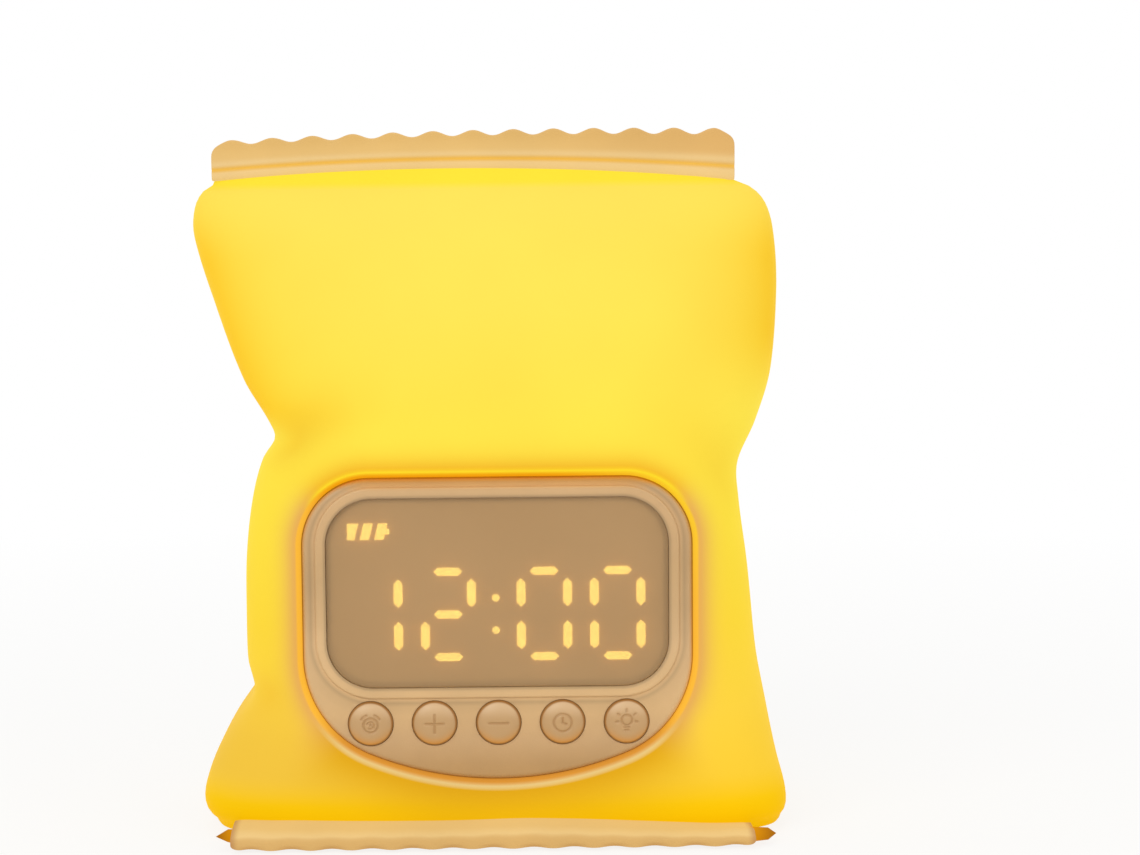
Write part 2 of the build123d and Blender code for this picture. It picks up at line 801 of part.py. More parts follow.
with BuildPart() as clock_bezel:
    with BuildSketch(front_plane(skirt_rear)):
        add(panel_outline())
    extrude(amount=skirt_depth)
    fillet(clock_bezel.faces().sort_by(Axis.Y)[0].edges(), bezel_edge_radius)
    with BuildSketch(front_plane(skirt_rear)):
        add(panel_outline(-skirt_wall))
    extrude(amount=skirt_depth - plate_thickness, mode=Mode.SUBTRACT)
    with BuildSketch(front_plane(flange_front + flange_thickness)):
        add(panel_outline(flange_width))
        add(panel_outline(-skirt_wall), mode=Mode.SUBTRACT)
    extrude(amount=flange_thickness)
    with BuildSketch(front_plane(bezel_face)):
        with Locations((0, window_centre_z)):
            RectangleRounded(
                window_width + 2 * bead_width,
                window_height + 2 * bead_width,
                window_radius + bead_width,
            )
    extrude(amount=bead_height)
    fillet(clock_bezel.faces().sort_by(Axis.Y)[0].edges(), bead_round)
    with BuildSketch(front_plane(lens_rear)):
        with Locations((0, window_centre_z)):
            RectangleRounded(window_width, window_height, window_radius)
    extrude(amount=lens_rear - bezel_face + bead_height + cut_over, mode=Mode.SUBTRACT)
    with BuildSketch(front_plane(plate_rear)):
        with Locations((0, window_centre_z)):
            RectangleRounded(hole_width, hole_height, window_radius - lens_ledge)
        with Locations(*[(x, button_z) for x in button_places.values()]):
            Circle(button_radius + button_hole_gap)
    extrude(amount=plate_thickness + cut_over, mode=Mode.SUBTRACT)
    with BuildSketch(front_plane(board_front)):
        with Locations(*case_post_places):
            Circle(bezel_post_radius)
    extrude(amount=board_front - plate_rear)
    with BuildSketch(front_plane(board_front)):
        with Locations(*case_post_places):
            Circle(small_screw_radius + pilot_gap)
    extrude(amount=board_front - plate_rear - bezel_post_floor, mode=Mode.SUBTRACT)

save(clock_bezel.part, "clock_bezel")

with BuildPart() as display_lens:
    with BuildSketch(front_plane(lens_rear)):
        with Locations((0, window_centre_z)):
            RectangleRounded(
                window_width - 2 * fit_gap,
                window_height - 2 * fit_gap,
                window_radius - fit_gap,
            )
    extrude(amount=lens_thickness)

save(display_lens.part, "display_lens")

with BuildPart() as display_block:
    with BuildSketch(front_plane(board_front)):
        with Locations((0, window_centre_z)):
            RectangleRounded(
                hole_width - 2 * block_margin,
                hole_height - 2 * block_margin,
                window_radius - lens_ledge - block_margin,
            )
    extrude(amount=block_depth)

save(display_block.part, "display_block")

# Each segment: (place across and up in shares of the pitches, turn, width)
digit_segments = {
    "top": (0, 1, 0, segment_width),
    "middle": (0, 0, 0, segment_width),
    "bottom": (0, -1, 0, segment_width),
    "upper_left": (-0.5, 0.5, 90, upright_width),
    "upper_right": (0.5, 0.5, 90, upright_width),
    "lower_left": (-0.5, -0.5, 90, upright_width),
    "lower_right": (0.5, -0.5, 90, upright_width),
}
lit_segments = (
    ("upper_right", "lower_right"),
    ("top", "upper_right", "middle", "lower_left", "bottom"),
    ("top", "upper_left", "upper_right", "lower_left", "lower_right", "bottom"),
    ("top", "upper_left", "upper_right", "lower_left", "lower_right", "bottom"),
)
half_segment = segment_length / 2

with BuildPart() as display_segments:
    with BuildSketch(front_plane(block_front)):
        for centre, names in zip(digit_centres_x, lit_segments):
            for across, up, turn, width in (digit_segments[name] for name in names):
                half_bar = width / 2
                x = centre + across * digit_width_pitch
                z = digit_centre_z + up * digit_height_pitch
                with Locations((x, z)):
                    Polygon(
                        (-half_segment, 0),
                        (half_bar - half_segment, half_bar),
                        (half_segment - half_bar, half_bar),
                        (half_segment, 0),
                        (half_segment - half_bar, -half_bar),
                        (half_bar - half_segment, -half_bar),
                        rotation=turn,
                    )
        with Locations(
            (colon_x, digit_centre_z + colon_pitch / 2),
            (colon_x, digit_centre_z - colon_pitch / 2),
        ):
            Circle(colon_radius)
        half_mark = battery_mark_height / 2
        for index in (-1, 0, 1):
            left = battery_mark_x + index * battery_bar_pitch - battery_bar_width / 2
            right = left + battery_bar_width
            left_slant = 0.0 if index == -1 else battery_bar_slant
            with Locations((0, battery_mark_z)):
                Polygon(
                    (left - left_slant / 2, -half_mark),
                    (right - battery_bar_slant / 2, -half_mark),
                    (right + battery_bar_slant / 2, half_mark),
                    (left + left_slant / 2, half_mark),
                    align=None,
                )
        nub_x = battery_mark_x + battery_bar_pitch + battery_bar_width / 2 + battery_nub_width / 3
        with Locations((nub_x, battery_mark_z)):
            Rectangle(battery_nub_width, battery_mark_height / 3)
    extrude(amount=segment_thickness)

save(display_segments.part, "display_segments")

with BuildPart() as clock_board:
    with BuildSketch(front_plane(board_rear)):
        add(panel_outline(-board_outline_inset))
        with Locations(*case_post_places):
            Circle(small_screw_radius + screw_hole_gap, mode=Mode.SUBTRACT)
    extrude(amount=board_thickness)

save(clock_board.part, "clock_board")

# Parts on the rear of the clock board: (across, up, width, height, thickness)
board_parts = (
    (-14.0, 60.0, 9.0, 9.0, 1.2),
    (12.0, 62.0, 6.0, 5.0, 1.5),
    (22.0, 70.0, 8.0, 3.2, 2.6),
    (0.0, 48.0, 5.0, 4.0, 1.1),
    (-26.0, 70.0, 3.2, 1.6, 1.0),
    (26.0, 58.0, 3.2, 1.6, 1.0),
)
with BuildPart() as clock_board_parts:
    for x, z, width, height, thickness in board_parts:
        with BuildSketch(front_plane(board_rear)):
            with Locations((x, z)):
                Rectangle(width, height)
        extrude(amount=-thickness)

save(clock_board_parts.part, "clock_board_parts")

with BuildPart() as switch_cases:
    with BuildSketch(front_plane(board_front)):
        with Locations(*[(x, button_z) for x in button_places.values()]):
            Rectangle(switch_size, switch_size)
    extrude(amount=switch_height)
    with BuildSketch(front_plane(switch_front)):
        with Locations(*[(x, button_z) for x in button_places.values()]):
            Circle(plunger_radius + fit_gap)
    extrude(amount=-(plunger_length - plunger_proud + button_travel + fit_gap), mode=Mode.SUBTRACT)

save(switch_cases.part, "switch_cases")

with BuildPart() as clock_case:
    with BuildSketch(front_plane(case_rear)):
        add(panel_outline())
    extrude(amount=case_depth)
    with BuildSketch(front_plane(case_rear - case_wall)):
        add(panel_outline(-case_wall))
    extrude(amount=case_depth - case_wall, mode=Mode.SUBTRACT)
    with BuildSketch(front_plane(case_rear)):
        with Locations(*case_post_places):
            Circle(case_post_radius)
    extrude(amount=case_rear - board_rear - fit_gap)
    with BuildSketch(front_plane(case_rear)):
        with Locations(*[(x - panel_centre_x, bracket_screw_z) for x, _ in bracket_places]):
            Circle(case_post_radius)
    extrude(amount=bracket_screw_length)
    with BuildSketch(front_plane(case_rear)):
        with Locations(*case_post_places):
            Circle(small_screw_radius + screw_hole_gap)
        with Locations(
            (clock_lead_x - panel_centre_x, clock_lead_z),
            (speaker_x - panel_centre_x, speaker_lead_z),
        ):
            SlotOverall(case_slot_width, case_slot_height)
    extrude(amount=case_depth, mode=Mode.SUBTRACT)
    with BuildSketch(front_plane(case_rear)):
        with Locations(*case_post_places):
            Circle(small_head_radius + screw_hole_gap)
    extrude(amount=case_screw_seat, mode=Mode.SUBTRACT)
    with BuildSketch(front_plane(case_rear)):
        with Locations(*[(x - panel_centre_x, bracket_screw_z) for x, _ in bracket_places]):
            Circle(small_screw_radius + pilot_gap)
    extrude(amount=bracket_screw_length - bracket_thickness + cut_over, mode=Mode.SUBTRACT)

save(clock_case.part, "clock_case")

with BuildPart() as clock_case_screws:
    for x, z in case_post_places:
        seat = Plane(
            origin=(panel_centre_x + x, case_rear - case_screw_seat, z),
            x_dir=(-1, 0, 0),
            z_dir=(0, 1, 0),
        )
        add(screw(seat, case_screw_length))

save(clock_case_screws.part, "clock_case_screws")

with BuildPart() as clock_bracket:
    with BuildSketch(Plane.XZ.offset(-bracket_rear)):
        with Locations((0, tray_top + bracket_height / 2)):
            Rectangle(2 * bracket_half_width, bracket_height)
    extrude(amount=bracket_thickness)
    with BuildSketch(level(tray_top)):
        with Locations((0, bracket_foot_y)):
            Rectangle(2 * bracket_half_width, bracket_foot)
    extrude(amount=bracket_thickness)
    with BuildSketch(level(tray_top)):
        with Locations(*bracket_places):
            Circle(small_screw_radius + screw_hole_gap)
    extrude(amount=bracket_thickness, mode=Mode.SUBTRACT)
    with BuildSketch(Plane.XZ.offset(-bracket_rear)):
        with Locations(*[(x, bracket_screw_z) for x, _ in bracket_places]):
            Circle(small_screw_radius + screw_hole_gap)
    extrude(amount=bracket_thickness, mode=Mode.SUBTRACT)

save(clock_bracket.part, "clock_bracket")

with BuildPart() as bracket_screws:
    for x, y in bracket_places:
        add(screw(level(tray_top + bracket_thickness, x, y), tray_screw_length))
        rear_seat = Plane(origin=(x, bracket_rear, bracket_screw_z), x_dir=(-1, 0, 0), z_dir=(0, 1, 0))
        add(screw(rear_seat, bracket_screw_length))

save(bracket_screws.part, "bracket_screws")

# ---- Buttons --------------------------------------------------------------------------------------

cap_edge = bezel_face - button_proud
cap_tip = cap_edge - button_dome
cap_flange_front = plate_rear + fit_gap
cap_flange_rear = cap_flange_front + button_flange_thickness
icon_radius = button_radius * icon_share


def ring_icon(radius):
    """Clock face: a ring with two hands."""
    with BuildSketch() as icon:
        Circle(radius)
        Circle(radius - icon_line, mode=Mode.SUBTRACT)
        with Locations((0, radius * minute_hand / 2)):
            Rectangle(icon_line, radius * minute_hand + icon_line)
        with Locations((radius * hour_hand / 2, 0)):
            Rectangle(radius * hour_hand + icon_line, icon_line)
    return icon.sketch


def alarm_icon():
    """Alarm clock: a smaller clock face with two bells and two feet."""
    radius = icon_radius * alarm_ring
    with BuildSketch() as icon:
        add(ring_icon(radius))
        for side in (-1, 1):
            with Locations((side * radius * bell_offset, radius * bell_offset)):
                Rectangle(radius * bell_length, icon_line, rotation=side * -45)
            with Locations((side * radius * alarm_foot_offset, -radius * bell_offset)):
                Rectangle(radius * alarm_foot_length, icon_line, rotation=side * -45)
    return icon.sketch


def plus_icon():
    """Plus sign."""
    with BuildSketch() as icon:
        Rectangle(2 * icon_radius, icon_bar)
        Rectangle(icon_bar, 2 * icon_radius)
    return icon.sketch


def minus_icon():
    """Minus sign."""
    with BuildSketch() as icon:
        Rectangle(2 * icon_radius, icon_bar)
    return icon.sketch


def bulb_icon():
    """Light bulb with rays."""
    radius = icon_radius * bulb_share
    with BuildSketch() as icon:
        Circle(radius)
        Circle(radius - icon_line, mode=Mode.SUBTRACT)
        with Locations((0, -radius - icon_line)):
            Rectangle(radius, icon_line)
        with PolarLocations(icon_radius, ray_count, start_angle=0, angular_range=180, rotate=True):
            Rectangle(radius * ray_share, icon_line)
    return icon.sketch


icons = {
    "alarm": alarm_icon(),
    "plus": plus_icon(),
    "minus": minus_icon(),
    "clock": ring_icon(icon_radius),
    "light": bulb_icon(),
}

for name, across in button_places.items():
    x = panel_centre_x + across
    with BuildPart() as button:
        with BuildSketch(Plane(origin=(x, 0, button_z), x_dir=(1, 0, 0), z_dir=(0, 0, 1))):
            with BuildLine():
                dome_radius = (button_radius**2 + button_dome**2) / (2 * button_dome)
                half_angle = math.asin(button_radius / dome_radius) / 2
                ThreePointArc(
                    (0, cap_tip),
                    (
                        dome_radius * math.sin(half_angle),
                        cap_tip + dome_radius * (1 - math.cos(half_angle)),
                    ),
                    (button_radius, cap_edge),
                )
                Polyline(
                    (button_radius, cap_edge),
                    (button_radius, cap_flange_front),
                    (button_flange_radius, cap_flange_front),
                    (button_flange_radius, cap_flange_rear),
                    (button_stem_radius, cap_flange_rear),
                    (button_stem_radius, plunger_tip),
                    (0, plunger_tip),
                    (0, cap_tip),
                )
            make_face()
        revolve(axis=Axis((x, 0, button_z), (0, 1, 0)))
        with BuildSketch(front_plane(cap_tip + icon_floor)):
            with Locations((across, button_z)):
                add(icons[name])
        extrude(amount=icon_floor + cut_over, mode=Mode.SUBTRACT)
        if abs(across) > button_pitch:
            with BuildSketch(front_plane(cap_flange_rear)):
                with Locations((across, button_z)):
                    Circle(button_flange_radius + cut_over)
                add(panel_outline(-skirt_wall - soft_gap), mode=Mode.SUBTRACT)
            extrude(amount=button_flange_thickness, mode=Mode.SUBTRACT)
    save(button.part, f"{name}_button")
    with BuildPart() as plunger:
        with BuildSketch(front_plane(plunger_tip + plunger_length)):
            with Locations((across, button_z)):
                Circle(plunger_radius)
        extrude(amount=plunger_length)
    save(plunger.part, f"{name}_switch_plunger")

# ---- Lamp -----------------------------------------------------------------------------------------


def cap_middle(radius, rise, base):
    """Middle point of the arc from the edge of a shallow dome to its crown."""
    sphere = (radius**2 + rise**2) / (2 * rise)
    half_angle = math.asin(min(1.0, radius / sphere)) / 2
    return (sphere * math.sin(half_angle), base + rise - sphere * (1 - math.cos(half_angle)))


with BuildPart() as lamp_post:
    with BuildSketch(level(tray_top, 0, post_y)):
        Circle(post_foot_radius)
    extrude(amount=post_foot_thickness)
    with BuildSketch(level(tray_top, 0, post_y)):
        Circle(post_radius)
    extrude(amount=post_height)
    with BuildSketch(level(light_board_bottom, 0, post_y)):
        Circle(lamp_radius)
    extrude(amount=-lamp_plate)
    with BuildSketch(level(tray_top, 0, post_y)):
        Circle(post_bore)
    extrude(amount=post_height, mode=Mode.SUBTRACT)
    with BuildSketch(level(tray_top)):
        with Locations(*post_screw_places):
            Circle(small_screw_radius + screw_hole_gap)
    extrude(amount=post_foot_thickness, mode=Mode.SUBTRACT)
    with BuildSketch(Plane(origin=(0, post_y, tray_top + post_slot_height), z_dir=(1, 0, 0))):
        Circle(post_slot_radius)
    extrude(amount=post_radius + cut_over, mode=Mode.SUBTRACT)
    with BuildSketch(level(light_board_bottom, 0, post_y)):
        with Locations((-light_screw_ring, 0), (light_screw_ring, 0)):
            Circle(small_screw_radius + pilot_gap)
    extrude(amount=-lamp_plate, mode=Mode.SUBTRACT)

save(lamp_post.part, "lamp_post")

with BuildPart() as post_screws:
    for x, y in post_screw_places:
        add(screw(level(tray_top + post_foot_thickness, x, y), tray_screw_length))

save(post_screws.part, "post_screws")

with BuildPart() as light_board:
    with BuildSketch(level(light_board_bottom, 0, post_y)):
        Circle(light_board_radius)
        with Locations((-light_screw_ring, 0), (light_screw_ring, 0)):
            Circle(small_screw_radius + screw_hole_gap, mode=Mode.SUBTRACT)
    extrude(amount=board_thickness)

save(light_board.part, "light_board")

with BuildPart() as light_board_screws:
    for x in (-light_screw_ring, light_screw_ring):
        add(screw(level(light_board_top, x, post_y), board_thickness + lamp_plate))

save(light_board_screws.part, "light_board_screws")

with BuildPart() as light_chips:
    with BuildSketch(level(light_board_top, 0, post_y)):
        with PolarLocations(light_chip_ring, light_chip_count, start_angle=180 / light_chip_count):
            Rectangle(light_chip_size, light_chip_size)
    extrude(amount=light_chip_height)

save(light_chips.part, "light_chips")

with BuildPart() as light_diffuser:
    side_top = light_board_bottom + diffuser_side
    inner_radius = lamp_radius - diffuser_wall
    inner_rise = diffuser_crown - diffuser_wall
    crown = side_top + diffuser_crown
    with BuildSketch(Plane(origin=(0, post_y, 0), x_dir=(1, 0, 0), z_dir=(0, -1, 0))):
        with BuildLine():
            Line((lamp_radius, light_board_bottom), (lamp_radius, side_top))
            ThreePointArc(
                (lamp_radius, side_top),
                cap_middle(lamp_radius, diffuser_crown, side_top),
                (0, crown),
            )
            Line((0, crown), (0, crown - diffuser_wall))
            ThreePointArc(
                (0, crown - diffuser_wall),
                cap_middle(inner_radius, inner_rise, side_top),
                (inner_radius, side_top),
            )
            Polyline(
                (inner_radius, side_top),
                (inner_radius, light_board_bottom),
                (lamp_radius, light_board_bottom),
            )
        make_face()
    revolve(axis=Axis((0, post_y, 0), (0, 0, 1)))

save(light_diffuser.part, "light_diffuser")

# ---- Battery --------------------------------------------------------------------------------------

with BuildPart() as battery_cell:
    with BuildSketch(end_plane(battery_left)):
        Circle(battery_radius)
    extrude(amount=battery_length)
    fillet(battery_cell.edges().filter_by(GeomType.CIRCLE), battery_edge_radius)

save(battery_cell.part, "battery_cell")

with BuildPart() as battery_clip:
    inner = battery_radius + fit_gap
    outer = clip_outer
    drop = battery_z - tray_top
    with BuildSketch(end_plane(clip_x - clip_width / 2)):
        Circle(outer)
        with Locations((0, -drop / 2)):
            Rectangle(2 * outer, drop)
        Circle(inner, mode=Mode.SUBTRACT)
        with Locations((0, -drop / 2)):
            Rectangle(2 * inner, drop, mode=Mode.SUBTRACT)
        with Locations((-outer - clip_tab / 2, clip_thickness / 2 - drop)):
            Rectangle(clip_tab, clip_thickness)
    extrude(amount=clip_width)
    with BuildSketch(level(tray_top)):
        with Locations((clip_x, clip_tab_y)):
            Circle(small_screw_radius + screw_hole_gap)
    extrude(amount=clip_thickness, mode=Mode.SUBTRACT)

save(battery_clip.part, "battery_clip")

with BuildPart() as battery_clip_screw:
    add(screw(level(tray_top + clip_thickness, clip_x, clip_tab_y), tray_screw_length))

save(battery_clip_screw.part, "battery_clip_screw")

# ---- Speaker --------------------------------------------------------------------------------------

basket_top = tray_top + speaker_height
basket_bottom = basket_top - basket_plate
ledge_radius = speaker_radius - speaker_seat
cone_edge = ledge_radius - cone_gap
cone_bottom = tray_top - cone_thickness
terminal_y = speaker_y + speaker_radius - terminal_inset

with BuildPart() as speaker_frame:
    with BuildSketch(Plane(origin=(speaker_x, speaker_y, 0), x_dir=(1, 0, 0), z_dir=(0, -1, 0))):
        Polygon(
            (speaker_radius, tray_top),
            (speaker_radius, tray_top + speaker_rim),
            (ledge_radius, tray_top + speaker_rim),
            (magnet_radius + basket_gap, basket_top),
            (0, basket_top),
            (0, basket_bottom),
            (magnet_radius, basket_bottom),
            (ledge_radius - basket_wall, tray_top),
            align=None,
        )
    revolve(axis=Axis((speaker_x, speaker_y, 0), (0, 0, 1)))
    with BuildSketch(level(tray_top)):
        with Locations((speaker_x, terminal_y)):
            Rectangle(terminal_width, terminal_length)
    extrude(amount=terminal_height)

save(speaker_frame.part, "speaker_frame")

with BuildPart() as speaker_cone:
    with BuildSketch(Plane(origin=(speaker_x, speaker_y, 0), x_dir=(1, 0, 0), z_dir=(0, -1, 0))):
        Polygon(
            (cone_edge, cone_bottom),
            (cone_edge, tray_top),
            (cone_edge - cone_rim, tray_top),
            (coil_radius, basket_bottom - cone_thickness),
            (0, basket_top - cone_drop),
            (0, basket_top - cone_drop - cone_thickness),
            (coil_radius, basket_bottom - 2 * cone_thickness),
            (cone_edge - cone_rim, cone_bottom),
            align=None,
        )
    revolve(axis=Axis((speaker_x, speaker_y, 0), (0, 0, 1)))

save(speaker_cone.part, "speaker_cone")

with BuildPart() as speaker_magnet:
    with BuildSketch(level(basket_top, speaker_x, speaker_y)):
        Circle(magnet_radius)
    extrude(amount=magnet_height)
    chamfer(speaker_magnet.faces().sort_by(Axis.Z)[-1].edges(), magnet_chamfer)

save(speaker_magnet.part, "speaker_magnet")

# ---- Charging board and port ----------------------------------------------------------------------

with BuildPart() as charging_board:
    with BuildSketch(level(charge_bottom)):
        with Locations((charge_x, (charge_front + charge_back) / 2)):
            Rectangle(charge_width, charge_length)
        with Locations(*charge_screw_places):
            Circle(small_screw_radius + screw_hole_gap, mode=Mode.SUBTRACT)
    extrude(amount=board_thickness)

save(charging_board.part, "charging_board")

with BuildPart() as charging_board_screws:
    for x, y in charge_screw_places:
        add(screw(level(charge_top, x, y), board_screw_length))

save(charging_board_screws.part, "charging_board_screws")

# Parts on the charging board: (across from its middle, back from its front edge, width, length, height)
charging_parts = ((1.5, 8.2, 4.0, 4.0, 1.2), (-1.5, 12.4, 5.0, 4.0, 2.2), (5.5, 12.8, 3.0, 3.0, 1.0))
with BuildPart() as charging_board_parts:
    for x, y, width, length, height in charging_parts:
        with BuildSketch(level(charge_top)):
            with Locations((charge_x + x, charge_front + y)):
                Rectangle(width, length)
        extrude(amount=height)

save(charging_board_parts.part, "charging_board_parts")

with BuildPart() as usb_c_shell:
    with BuildSketch(port_plane(usb_mouth)):
        SlotOverall(usb_width, usb_height)
    extrude(amount=-usb_length)
    with BuildSketch(port_plane(usb_mouth)):
        SlotOverall(usb_width - 2 * usb_wall, usb_height - 2 * usb_wall)
    extrude(amount=usb_wall - usb_length, mode=Mode.SUBTRACT)

save(usb_c_shell.part, "usb_c_shell")

with BuildPart() as usb_c_tongue:
    with BuildSketch(port_plane(usb_mouth - usb_length + usb_wall)):
        Rectangle(usb_tongue_width, usb_tongue_height)
    extrude(amount=usb_length - usb_wall - usb_tongue_set_back)

save(usb_c_tongue.part, "usb_c_tongue")

port_inside = port_face - bag_wall - port_flange_gap

with BuildPart() as port_surround:
    with BuildSketch(port_plane(port_inside - port_flange_thickness)):
        SlotOverall(2 * (port_half_width + port_flange), 2 * (port_half_height + port_flange))
    extrude(amount=port_flange_thickness)
    with BuildSketch(port_plane(port_inside)):
        SlotOverall(2 * port_half_width, 2 * port_half_height)
    extrude(amount=port_face - port_inside)
    with BuildSketch(port_plane(port_inside - port_flange_thickness)):
        SlotOverall(usb_width + 2 * port_gap, usb_height + 2 * port_gap)
    extrude(amount=port_face - port_inside + port_flange_thickness, mode=Mode.SUBTRACT)

save(port_surround.part, "port_surround")

# ---- Leads ----------------------------------------------------------------------------------------

with BuildPart() as battery_leads:
    for y in pair(battery_y):
        turn_x = (battery_right + charge_x - charge_width / 2) / 2 + lead_bend * 2
        add(
            lead(
                [
                    (battery_right, y, battery_z),
                    (turn_x, y, battery_z),
                    (turn_x, y, charge_top),
                ]
            )
        )

save(battery_leads.part, "battery_leads")

with BuildPart() as light_leads:
    slot_z = tray_top + post_slot_height
    end_y = charge_front + light_lead_reach
    for side in pair(0.0):
        turn_x = charge_x - light_lead_offset - side
        add(
            lead(
                [
                    (0, post_y + side, light_board_bottom),
                    (0, post_y + side, slot_z),
                    (turn_x, post_y + side, slot_z),
                    (turn_x, end_y, slot_z),
                    (turn_x, end_y, charge_top),
                ]
            )
        )

save(light_leads.part, "light_leads")

with BuildPart() as clock_leads:
    for x in (clock_lead_x - lead_pitch, clock_lead_x, clock_lead_x + lead_pitch):
        add(
            lead(
                [
                    (x, board_rear, clock_lead_z),
                    (x, charge_lead_y, clock_lead_z),
                    (x, charge_lead_y, charge_top),
                ]
            )
        )

save(clock_leads.part, "clock_leads")

with BuildPart() as speaker_leads:
    for x in pair(speaker_x):
        add(
            lead(
                [
                    (x, terminal_y, tray_top + terminal_height),
                    (x, terminal_y, speaker_lead_z),
                    (x, board_rear, speaker_lead_z),
                ]
            )
        )

save(speaker_leads.part, "speaker_leads")
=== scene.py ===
# %% [markdown]
# # A night-light alarm clock inside a silicone bag
#
# The object is a child's bedside lamp. A soft bag of milky yellow silicone glows from a lamp inside it,
# and a hard clock module sits in an opening of its front wall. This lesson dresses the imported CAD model:
# the silicone, its two crimped strips and the key caps are drawn again as smooth surfaces, and all other
# pieces keep their CAD shape and get the finish that their real material has.

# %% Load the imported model
import math

import bpy
import numpy as np
from mathutils import Euler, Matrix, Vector


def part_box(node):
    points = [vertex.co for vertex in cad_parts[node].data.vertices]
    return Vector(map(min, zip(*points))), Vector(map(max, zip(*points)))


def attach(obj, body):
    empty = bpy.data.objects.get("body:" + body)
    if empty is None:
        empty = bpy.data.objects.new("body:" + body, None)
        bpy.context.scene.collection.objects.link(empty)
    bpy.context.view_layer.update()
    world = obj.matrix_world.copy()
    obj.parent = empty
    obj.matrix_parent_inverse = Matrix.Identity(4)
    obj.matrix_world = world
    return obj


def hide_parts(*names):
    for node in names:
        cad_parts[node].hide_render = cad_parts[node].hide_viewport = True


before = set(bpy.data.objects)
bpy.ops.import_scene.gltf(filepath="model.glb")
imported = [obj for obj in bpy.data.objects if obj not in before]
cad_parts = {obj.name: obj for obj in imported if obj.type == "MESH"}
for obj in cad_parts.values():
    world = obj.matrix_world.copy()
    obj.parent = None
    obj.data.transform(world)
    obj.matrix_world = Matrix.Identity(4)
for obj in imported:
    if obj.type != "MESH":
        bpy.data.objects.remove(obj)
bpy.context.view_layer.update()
scene = bpy.context.scene
MM = 0.001

# %% [markdown]
# ## Small helpers
#
# Colours are picked as sRGB hex values, but a shader works with linear light, so one function turns the
# one into the other. Another adds a shader node with its settings and its links, because writing that
# out for every node would hide what a material does.

# %% Colour and node helpers


def linear(code):
    """Linear RGBA of an sRGB hex colour: c / 12.92 when c is small, else ((c + 0.055) / 1.055)^2.4."""
    channels = np.array([int(code[i : i + 2], 16) for i in (1, 3, 5)]) / 255
    curved = np.where(channels <= 0.04045, channels / 12.92, ((channels + 0.055) / 1.055) ** 2.4)
    return (*curved.tolist(), 1.0)


def feed(node, **inputs):
    """Fill inputs by name, or by number as _0: sockets are linked, a node stands for its first output."""
    for name, value in inputs.items():
        socket = node.inputs[int(name[1:])] if name[1:].isdigit() else node.inputs[name.replace("_", " ")]
        if isinstance(value, bpy.types.Node):
            value = value.outputs[0]
        if isinstance(value, bpy.types.NodeSocket):
            node.id_data.links.new(value, socket)
        else:
            socket.default_value = value


def add_node(tree, kind, settings=None, stops=(), **inputs):
    """Add a shader node with its settings, the (place, colour) stops of a ramp, and its inputs."""
    node = tree.nodes.new(kind)
    for name, value in (settings or {}).items():
        setattr(node, name, value)
    for _ in stops[2:]:
        node.color_ramp.elements.new(1.0)
    for number, (place, colour) in enumerate(stops):
        node.color_ramp.elements[number].position = place
        node.color_ramp.elements[number].color = colour
    feed(node, **inputs)
    return node


def empty_tree(owner):
    """The node tree of a material or a world, with nothing in it."""
    owner.use_nodes = True
    owner.node_tree.nodes.clear()
    return owner.node_tree


def start_material(name, **constants):
    """A new material with a Principled shader whose constant sockets are set on the shader itself."""
    material = bpy.data.materials.new(name)
    tree = empty_tree(material)
    shader = add_node(tree, "ShaderNodeBsdfPrincipled", **constants)
    add_node(tree, "ShaderNodeOutputMaterial", Surface=shader)
    return material, tree, shader


print("helpers ready")

# %% [markdown]
# ## Where the eye stands
#
# The clock is seen from the front and a little from above, as on a bedside table. A long lens keeps the
# sides of the bag nearly parallel. The picture is shifted a little rather than turned, so that the
# upright edges stay upright.

# %% Camera
PICTURE_WIDTH, PICTURE_HEIGHT = 1140, 855
SENSOR_MM = 36.0
EYE_DISTANCE_MM = 650.0
EYE_ELEVATION = math.radians(6.0)
EYE_ROLL = math.radians(-0.6)
FOCAL_PIXELS = 2756.0
TARGET_MM = Vector((1.2, 3.0, 81.5))
TARGET_PIXEL = (496.0, 467.8)

eye = bpy.data.cameras.new("eye")
eye.sensor_width = SENSOR_MM
eye.lens = FOCAL_PIXELS / PICTURE_WIDTH * SENSOR_MM
eye.shift_x = (PICTURE_WIDTH / 2 - TARGET_PIXEL[0]) / PICTURE_WIDTH
eye.shift_y = (TARGET_PIXEL[1] - PICTURE_HEIGHT / 2) / PICTURE_WIDTH
eye.clip_start = 0.01
eye_object = bpy.data.objects.new("eye", eye)
scene.collection.objects.link(eye_object)
away = Vector((0.0, -math.cos(EYE_ELEVATION), math.sin(EYE_ELEVATION)))
eye_object.location = (TARGET_MM + away * EYE_DISTANCE_MM) * MM
turn = Euler((math.pi / 2 - EYE_ELEVATION, 0.0, 0.0)).to_matrix() @ Euler((0.0, 0.0, EYE_ROLL)).to_matrix()
eye_object.rotation_euler = turn.to_euler()
scene.camera = eye_object
scene.view_settings.view_transform = "Standard"
print("lens", round(eye.lens, 1), "mm, shift", round(eye.shift_x, 3), round(eye.shift_y, 3))

# %% [markdown]
# ## A plain studio
#
# A pale floor and soft lights from large lamps show a glowing object best: hard lamps would put streaks
# on the silicone that its own light would wash out in a real room. The floor mixes in plain white for
# the camera alone, so it meets the white background without a line and still takes the clock's shadow.

# %% Floor, world and lamps
FLOOR_SIZE = 6.0
FLOOR_WHITE = 0.84
FLOOR_FADE = (0.1, 0.55)        # metres from the clock between which the floor turns plain white
ROOM_STRENGTH = 0.52


